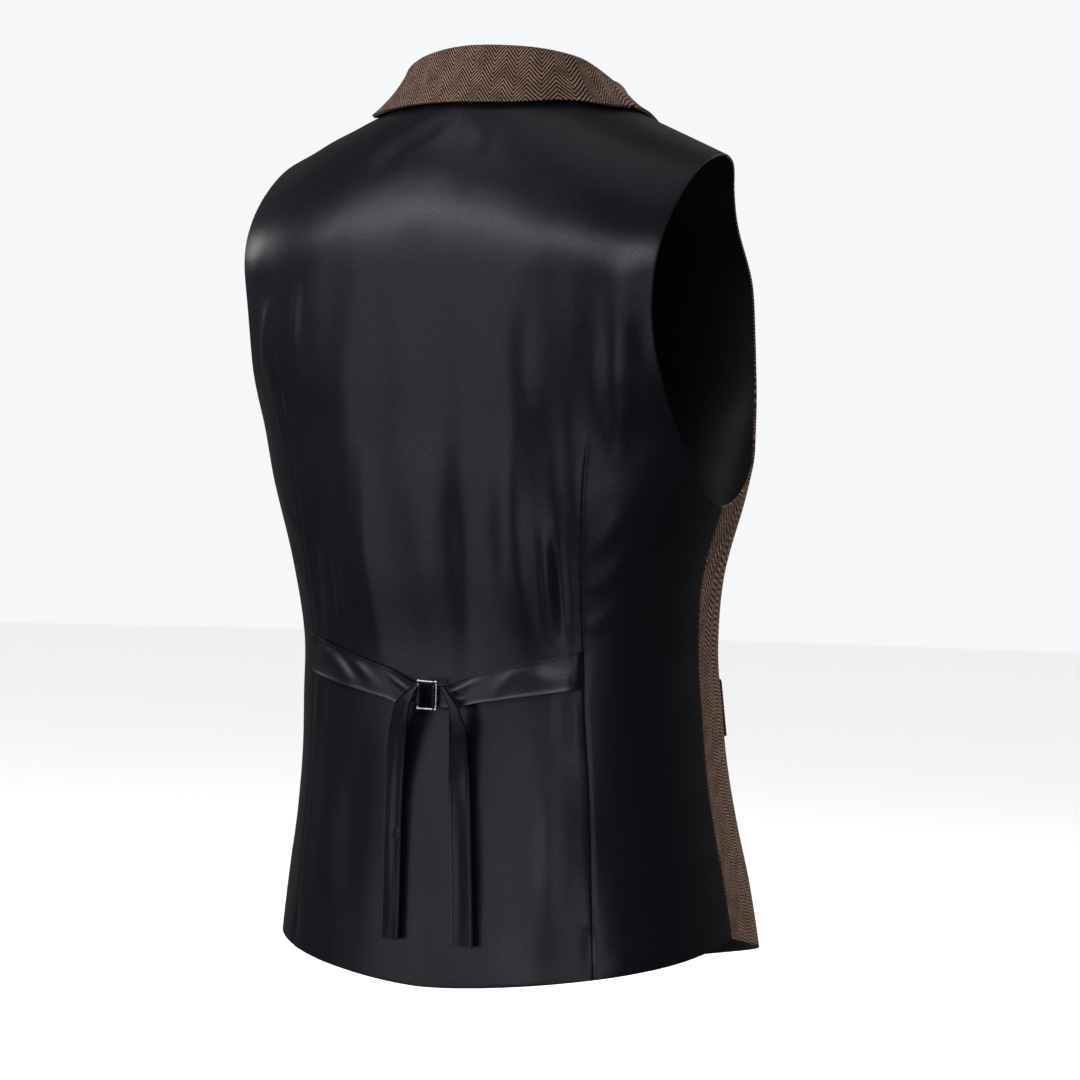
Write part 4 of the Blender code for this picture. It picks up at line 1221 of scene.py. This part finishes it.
def thread_look():
    look = Look("brown thread")
    place = look.node("ShaderNodeTexCoord").outputs["Object"]
    twist = look.noise(place, TWIST_FINE)
    look.shade(Base_Color=look.mix(twist, THREAD_DARK, THREAD_LIGHT), Roughness=0.7,
               Sheen_Weight=0.3, Normal=look.bump(twist, MARKS_DEEP, strength=0.4))
    return look.material


horn = horn_look()
thread = thread_look()


def select(*pieces):
    """Selects just these pieces, the first one active."""
    deselect()
    for piece in pieces:
        piece.select_set(True)
    bpy.context.view_layer.objects.active = pieces[0]


def select_faces(mesh, direction, least=0.9):
    """Selects only the faces that point a given way."""
    for element in (*mesh.vertices, *mesh.edges, *mesh.polygons):
        element.select = False
    for face in mesh.polygons:
        face.select = face.normal.dot(direction) > least


def apply_all(piece):
    select(piece)
    for modifier in list(piece.modifiers):
        bpy.ops.object.modifier_apply(modifier=modifier.name)


def make_button_blank():
    """A button lying flat at the origin, its back at height 0."""
    deselect()
    bpy.ops.mesh.primitive_cylinder_add(
        vertices=BUTTON_SIDES, radius=BUTTON_RADIUS * MM, depth=BUTTON_HEIGHT * MM,
        location=(0, 0, BUTTON_HEIGHT * MM / 2))
    blank = bpy.context.object
    blank.name = "button_blank"
    bpy.ops.object.transform_apply(location=True, rotation=True, scale=True)
    select_faces(blank.data, Vector((0, 0, 1)))
    bpy.ops.object.mode_set(mode="EDIT")
    bpy.ops.mesh.select_mode(type="FACE")
    bpy.ops.mesh.inset(thickness=BUTTON_RIM * MM, depth=0)
    bpy.ops.mesh.extrude_region_move(TRANSFORM_OT_translate={"value": (0, 0, -BUTTON_SINK * MM)})
    bpy.ops.object.mode_set(mode="OBJECT")
    select_faces(blank.data, Vector((0, 0, -1)))
    bpy.ops.object.mode_set(mode="EDIT")
    bpy.ops.mesh.inset(thickness=BUTTON_RIM * MM, depth=0)
    bpy.ops.object.mode_set(mode="OBJECT")
    rounded = blank.modifiers.new("rounded rim", "BEVEL")
    rounded.width = BUTTON_ROUND * MM
    rounded.segments = ROUND_STEPS
    rounded.limit_method = "ANGLE"
    rounded.angle_limit = math.radians(ROUND_ABOVE)
    apply_all(blank)
    for across in (-1, 1):
        for up in (-1, 1):
            deselect()
            bpy.ops.mesh.primitive_cylinder_add(
                vertices=HOLE_SIDES, radius=HOLE_RADIUS * MM, depth=3 * BUTTON_HEIGHT * MM,
                location=(across * HOLE_OFF * MM, up * HOLE_OFF * MM, BUTTON_HEIGHT * MM / 2))
            drill = bpy.context.object
            hole = blank.modifiers.new("hole", "BOOLEAN")
            hole.object = drill
            apply_all(blank)
            bpy.data.objects.remove(drill)
    select(blank)
    bpy.ops.object.shade_smooth_by_angle(angle=math.radians(SMOOTH_BELOW))
    blank.data.materials.clear()
    blank.data.materials.append(horn)
    return blank


def make_button_thread():
    """Two thick bars of thread between the holes, and the shank under the button."""
    bars = []
    for across in (-1, 1):
        deselect()
        bpy.ops.mesh.primitive_torus_add(
            major_segments=CROSSING_STEPS, minor_segments=THREAD_SIDES,
            major_radius=HOLE_OFF * MM, minor_radius=THREAD * MM, rotation=(0, math.pi / 2, 0),
            location=(across * HOLE_OFF * MM, 0, (BUTTON_HEIGHT - BUTTON_SINK - THREAD_DEEP) * MM))
        bars.append(bpy.context.object)
    deselect()
    bpy.ops.mesh.primitive_cylinder_add(
        vertices=SHANK_SIDES, radius=SHANK_RADIUS * MM, depth=(BUTTON_SHANK + SHANK_IN) * MM,
        location=(0, 0, -BUTTON_SHANK / 2 * MM))
    sewn = bpy.context.object
    sewn.name = "button_thread"
    select(sewn, *bars)
    bpy.ops.object.join()
    bpy.ops.object.transform_apply(location=True, rotation=True, scale=True)
    bpy.ops.object.shade_smooth()
    sewn.data.materials.append(thread)
    return sewn


def set_at(pattern, name, matrix):
    """A copy of a piece modelled at the origin, with its place put into its own mesh."""
    copy = bpy.data.objects.new(name, pattern.data.copy())
    bpy.context.scene.collection.objects.link(copy)
    copy.data.transform(matrix)
    return copy


def button_place(drop):
    """The matrix that seats a button on the left front, a shank off its face."""
    seat = laid_on_front(np.array(0.0), np.array(drop), np.array(BUTTON_SHANK), True)
    axis = unit(laid_on_front(np.array(0.0), np.array(drop), np.array(BUTTON_SHANK + 1), True) - seat)
    turn = Vector((0, 0, 1)).rotation_difference(Vector(axis))
    return Matrix.Translation(Vector(seat) * MM) @ turn.to_matrix().to_4x4()


blank = make_button_blank()
sewn_bars = make_button_thread()
for number in range(BUTTONS):
    matrix = button_place(BUTTON_FIRST + BUTTON_STEP * number)
    button = set_at(blank, f"horn_button_{number + 1}", matrix)
    sewn = set_at(sewn_bars, f"button_thread_{number + 1}", matrix)
    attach(button, "root")
    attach(sewn, "root")
    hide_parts(f"button_{number + 1}")
bpy.data.objects.remove(blank)
bpy.data.objects.remove(sewn_bars)


# ---- buttonholes and edge stitches ------------------------------------------------------------
# Each buttonhole is a slit whose two sides and outer end are covered with close thread stitches.
# Small pick stitches hold the fronts' and the lapels' edges flat.

HOLE_START = 3.0           # from the middle, under the button
HOLE_END = 19.0
HOLE_SPREAD = 0.9          # from the slit to the middle of a stitch
HOLE_STITCH = 0.55         # from stitch to stitch
HOLE_STITCH_LONG, HOLE_STITCH_THICK = 0.85, 0.30
HOLE_STITCH_OUT = 0.15
HOLE_POINTS, HOLE_END_POINTS = 40, 12
STITCH_SIDES, STITCH_RINGS = 8, 5
PICK_STEP = 5.0
PICK_IN = 5.0              # from the edge
PICK_LONG, PICK_THICK = 1.0, 0.26
PICK_OUT = 0.02
PICK_FROM, PICK_TO = 6.0, 4.0       # from the lapel's end and to the cut-away
CUT_ASIDE, CUT_UP = 2.0, 3.0        # how far the cut-away's own stitches keep off its ends
LAPEL_PICKED = (0.03, 0.93)         # share of the lapel's edge that is stitched
EDGE_POINTS, CUT_POINTS, LAPEL_POINTS = 200, 60, 120


def make_stitch():
    """One stitch along X at the origin: a short bead of thread."""
    deselect()
    bpy.ops.mesh.primitive_uv_sphere_add(segments=STITCH_SIDES, ring_count=STITCH_RINGS,
                                         radius=1.0, rotation=(0, math.pi / 2, 0))
    bead = bpy.context.object
    bpy.ops.object.transform_apply(location=True, rotation=True, scale=True)
    return bead


def sew(name, bead, centres, along, out, half_long, half_thick):
    """Copies of a stitch, joined in one mesh: along is its length's direction, out its top."""
    mesh = bead.data
    corners = np.empty(len(mesh.vertices) * 3)
    mesh.vertices.foreach_get("co", corners)
    corners = corners.reshape(-1, 3) * np.array([half_long, half_thick, half_thick])
    aside = np.cross(out, along)
    placed = (centres[:, None] + corners[None, :, :1] * along[:, None]
              + corners[None, :, 1:2] * aside[:, None] + corners[None, :, 2:] * out[:, None])
    faces = [[c + i * len(corners) for c in face.vertices]
             for i in range(len(centres)) for face in mesh.polygons]
    made = bpy.data.meshes.new(name)
    made.from_pydata(placed.reshape(-1, 3) * MM, [], faces)
    made.shade_smooth()
    made.materials.append(thread)
    piece = bpy.data.objects.new(name, made)
    bpy.context.scene.collection.objects.link(piece)
    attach(piece, "root")


def stitches_on_front(name, x, drop, out, left, half_long, half_thick, crosswise=False):
    """Stitches on a line over a front, from the line's points at its own steps."""
    spots = laid_on_front(x, drop, out + 0 * x, left)
    above = unit(laid_on_front(x, drop, out + 1 + 0 * x, left) - spots)
    run = unit(np.gradient(spots, axis=0))
    if crosswise:
        run = unit(np.cross(above, run))
    run = unit(run - above * np.sum(run * above, axis=-1)[:, None])
    sew(name, bead, spots, run, above, half_long, half_thick)


def stepped(x, drop, step):
    """The same line with points every step of its length."""
    run = np.concatenate([[0], np.cumsum(np.hypot(np.diff(x), np.diff(drop)))])
    at = np.arange(step / 2, run[-1], step)
    return np.interp(at, run, x), np.interp(at, run, drop)


bead = make_stitch()
for number in range(BUTTONS):
    drop = BUTTON_FIRST + BUTTON_STEP * number
    end_turn = np.linspace(-np.pi / 2, np.pi / 2, HOLE_END_POINTS)
    side = np.linspace(HOLE_START, HOLE_END, HOLE_POINTS)
    x = np.concatenate([side, HOLE_END + HOLE_SPREAD * np.cos(end_turn), side[::-1]])
    aside = np.concatenate([0 * side - HOLE_SPREAD, HOLE_SPREAD * np.sin(end_turn),
                            0 * side + HOLE_SPREAD])
    x, y = stepped(x, drop + aside, HOLE_STITCH)
    stitches_on_front(f"buttonhole_{number + 1}", x, y, HOLE_STITCH_OUT, True,
                      HOLE_STITCH_LONG, HOLE_STITCH_THICK, crosswise=True)

for left in (True, False):
    side_name = "left" if left else "right"
    line_x = -LAP_HALF + PICK_IN
    x = np.concatenate([np.full(EDGE_POINTS, line_x),
                        np.linspace(line_x, POINT_HALF - CUT_ASIDE, CUT_POINTS)])
    y = np.concatenate([np.linspace(LAPEL_BREAK + PICK_FROM, CUT_AWAY - PICK_TO, EDGE_POINTS),
                        np.linspace(CUT_AWAY - CUT_UP, HEM_POINT - PICK_IN - CUT_UP, CUT_POINTS)])
    x, y = stepped(x, y, PICK_STEP)
    stitches_on_front(f"front_stitches_{side_name}", x, y, PICK_OUT, left, PICK_LONG, PICK_THICK)

    edge_x, edge_drop = lapel_edge(lapel_end(left), np.linspace(*LAPEL_PICKED, LAPEL_POINTS))
    x, y = stepped(edge_x - PICK_IN, edge_drop, PICK_STEP)
    stitches_on_front(f"lapel_stitches_{side_name}", x, y, LAPEL_FACE + PICK_OUT, left,
                      PICK_LONG, PICK_THICK)
bpy.data.objects.remove(bead)


# ---- cinch strap ------------------------------------------------------------------------------
# Two bands of folded satin come out of the darts and are gathered round the buckle's sides. They
# are pulled by it, so that their cloth bunches into long creases.

STRAP_WIDTH = 25.0
STRAP_WALL = 1.2
STRAP_ROLL = 0.5
STRAP_END = (106.0, 375.0)     # from the middle and below the origin
BUCKLE = (-6.5, 396.5)
BUCKLE_OUT = 8.0               # from the back's face to the buckle's middle plane
BUCKLE_HALF_WIDTH = 7.0
BUCKLE_HALF_HEIGHT = 9.0
SIDE_WIRE = 0.95
GATHERED = 13.6                # height of a band where it goes round the buckle
LOOP_PART = 0.8                # share of a band's columns up to the buckle
NARROWED = 17.5                # a band narrows evenly towards this
GATHER_FROM = 0.80             # and from here on it is gathered
RISE_FROM = 0.72               # and from here it leaves the back for the buckle
DART_TUCK = 1.5                # its end lies this far past the dart's seam
DART_DEEP, DART_PART = 2.2, 0.05    # and this far in, over this share of its length
BAND_PUFF, PUFF_PART = 1.2, 1 / 3   # beyond that it stands off the back
BAND_TILT, TILT_PART = 3.4, 0.12    # its lower edge by this much more than the upper one
TILT_ABOUT = 0.3
EDGE_SWELL, EDGE_PART = 0.35, 0.07  # its two edges are thicker, for the cloth folded in
BAND_COLUMNS = 150
BAND_ROWS = 40

# distance along the band from its dart and down its width
BAND_CREASES = {
    "left": (
        Crease(12, 3, 50, 22, 3, 5.5, 1.0),
        Crease(40, 4, 74, 20, 2, 4.5, 0.8),
        Crease(26, 2, 60, 20, 2, 4.5, -0.7),
        Crease(76, 6, 104, 11, 0, 2.6, 0.5),
        Crease(86, 19, 105, 15, 0, 2.2, 0.4),
    ),
    "right": (
        Crease(34, 2, 56, 22, 2, 5.0, 0.8),
        Crease(8, 20, 40, 6, 0, 6.0, 0.5),
        Crease(62, 6, 90, 11, 0, 2.6, 0.5),
        Crease(72, 20, 91, 15, 0, 2.2, 0.4),
    ),
}


def edges(share, part):
    """1 at both edges of a strip, fading over a part of its width."""
    return np.exp(-(share / part) ** 2) + np.exp(-((1 - share) / part) ** 2)


def laid_on_back(x, drop, out):
    angle, level = spot(x, drop, False)
    return on_back(angle, level, out)


buckle_centre = laid_on_back(np.array(BUCKLE[0]), np.array(BUCKLE[1]), np.array(BUCKLE_OUT))


def band_surface(side, creases):
    """A band's middle surface: from its dart to the buckle, then round the buckle's side wire."""
    wire = buckle_centre + np.array([side * BUCKLE_HALF_WIDTH, 0, 0])
    loop = SIDE_WIRE + LIE + STRAP_WALL / 2
    run = abs(side * STRAP_END[0] - wire[0])

    def middle(u, v):
        t = np.minimum(u / LOOP_PART, 1)
        x = blend(side * (STRAP_END[0] + DART_TUCK), wire[0], t)
        drop = blend(STRAP_END[1], BUCKLE[1], t)
        gather = ease((t - GATHER_FROM) / (1 - GATHER_FROM))
        width = blend(blend(STRAP_WIDTH, NARROWED, t), GATHERED, gather)
        height = (0.5 - v) * width
        rest = LIE + STRAP_WALL / 2 + BAND_PUFF * ease(t / PUFF_PART)
        rest = rest - DART_DEEP * (1 - ease(t / DART_PART))
        rest = rest + BAND_TILT * (v - TILT_ABOUT) * ease(t / TILT_PART)
        lie = laid_on_back(x, drop - height, rest)
        near = np.stack([x, np.full_like(x, wire[1] - loop), wire[2] + height], axis=-1)
        flat = blend(lie, near, ease((t - RISE_FROM) / (1 - RISE_FROM))[..., None])
        turn = np.clip((u - LOOP_PART) / (1 - LOOP_PART), 0, 1) * np.pi
        round_wire = wire + np.stack([-side * loop * np.sin(turn), -loop * np.cos(turn),
                                      (0.5 - v) * GATHERED], axis=-1)
        return np.where((u < LOOP_PART)[..., None], flat, round_wire)

    def bulge(u, v):
        t = np.minimum(u / LOOP_PART, 1)
        fold = crease_height(creases, t * run, v * STRAP_WIDTH)
        return fold + EDGE_SWELL * edges(v, EDGE_PART)

    return middle, bulge


def make_band(name, node, side, creases):
    middle, bulge = band_surface(side, creases)
    piece, u, v = grid(name, BAND_COLUMNS, BAND_ROWS)
    out = facing(middle, u, v) * -side
    points = middle(u, v) + out * (STRAP_WALL / 2 + bulge(u, v))[:, None]
    lay(piece, points, own_chart(points, BAND_COLUMNS, BAND_ROWS)[:, ::-1], out)
    give_wall(piece, STRAP_WALL, STRAP_ROLL, satin)
    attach(piece, "root")
    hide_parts(node)


make_band("strap_band_left", "strap_left", 1, BAND_CREASES["left"])
make_band("strap_band_right", "strap_right", -1, BAND_CREASES["right"])


# ---- strap's loose ends -----------------------------------------------------------------------
# The strap's two ends come out of the buckle and hang down over the bands. They are the same
# folded satin, turned in and sewn at the bottom.

TAIL_FOOT = 560.0
TAIL_WIDTH = 18.0
TAIL_COLUMNS = 56
TAIL_ROWS = 180
TAIL_HEM = 7.0             # the end is turned in over this length
TAIL_TURN, TURN_FADE = 0.12, 1.2
TAIL_SEAM = 0.085          # the edges are sewn at this share of the width
SEAM_DEEP, SEAM_PART = 0.30, 0.03
TAIL_SWELL, TAIL_SWELL_PART = 0.30, 0.08
# out is from the back's face to the cloth's middle; turn is in degrees about the upright
Tail = namedtuple("Tail", "depth x out width turn")
LEFT_TAIL = (
    Tail(391, -0.6, 12.8, 3.4, 0),
    Tail(395, 2.8, 13.4, 6.3, -4),
    Tail(400, 7.2, 13.6, 12.0, -12),
    Tail(405, 9.6, 13.0, 14.3, -13),
    Tail(414, 12.1, 11.4, 15.6, -14),
    Tail(426, 15.4, 8.5, 17.0, -14),
    Tail(455, 19.6, 3.9, 17.6, -14),
    Tail(500, 20.4, 3.0, 17.6, -14),
    Tail(560, 20.8, 2.6, 17.6, -14),
)
RIGHT_TAIL = (
    Tail(390, -20.5, 12.8, 3.0, 0),
    Tail(396, -25.0, 13.4, 4.4, -1),
    Tail(403, -29.0, 13.4, 6.8, -2),
    Tail(410, -30.4, 12.6, 10.0, -3),
    Tail(416, -31.4, 11.4, 13.2, -6),
    Tail(432, -30.4, 7.5, 15.2, -8),
    Tail(455, -29.6, 3.8, 18.6, -9),
    Tail(500, -31.3, 3.0, 19.2, -9),
    Tail(560, -35.4, 2.8, 19.8, -9),
)
# distance across the end from its edge nearer the wearer's right, and depth
TAIL_CREASES = {
    "tail_left": (
        Crease(5, 398, 4, 430, 0, 3.0, 0.7),
        Crease(11, 404, 11, 576, 0, 3.2, 1.0),
        Crease(2, 486, 8, 493, 0, 1.8, 0.6),
        Crease(5, 508, 7, 552, 1, 4.0, 0.5),
    ),
    "tail_right": (
        Crease(4, 404, 4, 470, 0, 2.4, -0.7),
        Crease(12, 410, 13, 446, 0, 3.0, 0.6),
        Crease(12, 456, 12, 576, -1, 5.0, -0.8),
    ),
}


def make_tail(name, node, rows):
    piece, u, v = grid(name, TAIL_COLUMNS, TAIL_ROWS)
    drop = blend(rows[0].depth, TAIL_FOOT, v)
    x, off, width, turn = (smooth(rows, column, drop) for column in Tail._fields[1:])
    heading = np.radians(turn)
    across = np.stack([np.cos(heading), np.sin(heading), 0 * heading], axis=-1)
    out = np.stack([-np.sin(heading), np.cos(heading), 0 * heading], axis=-1)
    lift = crease_height(TAIL_CREASES[node], u * TAIL_WIDTH, drop)
    lift = lift + TAIL_SWELL * edges(u, TAIL_SWELL_PART)
    lift = lift + TAIL_TURN * ease((drop - TAIL_FOOT + TAIL_HEM) / TURN_FADE)
    from_seam = np.minimum(np.abs(u - TAIL_SEAM), np.abs(1 - u - TAIL_SEAM))
    lift = lift - SEAM_DEEP * np.exp(-(from_seam / SEAM_PART) ** 2)
    middle = laid_on_back(x, drop, off) + across * (width * (u - 0.5))[:, None]
    points = middle + out * (STRAP_WALL / 2 + lift)[:, None]
    lay(piece, points, own_chart(points, TAIL_COLUMNS, TAIL_ROWS), out)
    give_wall(piece, STRAP_WALL, STRAP_ROLL, satin)
    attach(piece, "root")
    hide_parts(node)


make_tail("strap_end_left", "tail_left", LEFT_TAIL)
make_tail("strap_end_right", "tail_right", RIGHT_TAIL)


# ---- buckle -----------------------------------------------------------------------------------
# A small slide of dark nickel: two bone-shaped bars with knobs at their ends, joined by two thin
# side wires that the bands are folded round. It stays where it is on the strap.

BAR_THIN = 0.95
BAR_KNOB = 1.65
KNOB_PAST = 0.9            # share of a knob's radius that is past the side wire
KNOB_LONG = 1.5
CAP_LONG = 1.2             # a bar's ends are rounded off over this length
CAP_LEAST = 0.04
BAR_STEPS = 24
WIRE_ROUND = 5
CAST_GRAIN = 0.22          # the bars and wires are cast into one, with soft joins
SOFTENING, SOFTENINGS = 0.5, 4
NICKEL = (0.42, 0.42, 0.44, 1.0)
NICKEL_WORN = (0.30, 0.30, 0.32, 1.0)
WEAR_FINE, WEAR_SPREAD, NICKEL_ROUGHNESS = 900.0, (0.35, 0.7), (0.18, 0.32)
NICKEL_FINE = 2600.0


def nickel_look():
    look = Look("dark nickel")
    place = look.node("ShaderNodeTexCoord").outputs["Object"]
    wear = look.noise(place, WEAR_FINE, detail=3.0)
    look.shade(Base_Color=look.mix(look.between(wear, WEAR_SPREAD), NICKEL, NICKEL_WORN),
               Roughness=look.between(wear, MOST, NICKEL_ROUGHNESS), Metallic=1.0,
               Normal=look.bump(look.noise(place, NICKEL_FINE), MARKS_DEEP, strength=0.06))
    return look.material


def wire_mesh(name, points, radii):
    """A round wire with its own radius at each point, made a mesh."""
    curve = bpy.data.curves.new(name, "CURVE")
    curve.dimensions = "3D"
    curve.bevel_depth = MM
    curve.bevel_resolution = WIRE_ROUND
    curve.use_fill_caps = True
    spline = curve.splines.new("POLY")
    spline.points.add(len(points) - 1)
    for corner, point, radius in zip(spline.points, points, radii):
        corner.co = (*point, 1)
        corner.radius = radius
    wire = bpy.data.objects.new(name, curve)
    bpy.context.scene.collection.objects.link(wire)
    select(wire)
    bpy.ops.object.convert(target="MESH")
    return bpy.context.object


def make_buckle():
    parts = []
    centre = buckle_centre * MM
    half_wide, half_tall = BUCKLE_HALF_WIDTH * MM, BUCKLE_HALF_HEIGHT * MM
    past = half_wide + BAR_KNOB * MM * KNOB_PAST
    steps = np.linspace(-1, 1, BAR_STEPS)
    knob = np.exp(-((np.abs(steps) * past - half_wide) / (KNOB_LONG * MM)) ** 2)
    cap = np.sqrt(np.clip((1 - np.abs(steps)) * past / (CAP_LONG * MM), CAP_LEAST, 1))
    radii = (BAR_THIN + (BAR_KNOB - BAR_THIN) * knob) * cap
    for up in (-1, 1):
        points = [centre + np.array([s * past, 0, up * half_tall]) for s in steps]
        parts.append(wire_mesh("bar", points, radii))
    for side in (-1, 1):
        points = [centre + np.array([side * half_wide, 0, s * half_tall]) for s in steps]
        parts.append(wire_mesh("side", points, np.full(BAR_STEPS, SIDE_WIRE)))
    select(*parts)
    bpy.ops.object.join()
    buckle = bpy.context.object
    buckle.name = buckle.data.name = "wire_buckle"
    bpy.ops.object.transform_apply(location=True, rotation=True, scale=True)
    buckle.data.remesh_voxel_size = CAST_GRAIN * MM
    bpy.ops.object.voxel_remesh()
    softened = buckle.modifiers.new("softened", "SMOOTH")
    softened.factor = SOFTENING
    softened.iterations = SOFTENINGS
    apply_all(buckle)
    bpy.ops.object.shade_smooth()
    buckle.data.materials.clear()
    buckle.data.materials.append(nickel_look())
    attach(buckle, "root")
    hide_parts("buckle")


make_buckle()
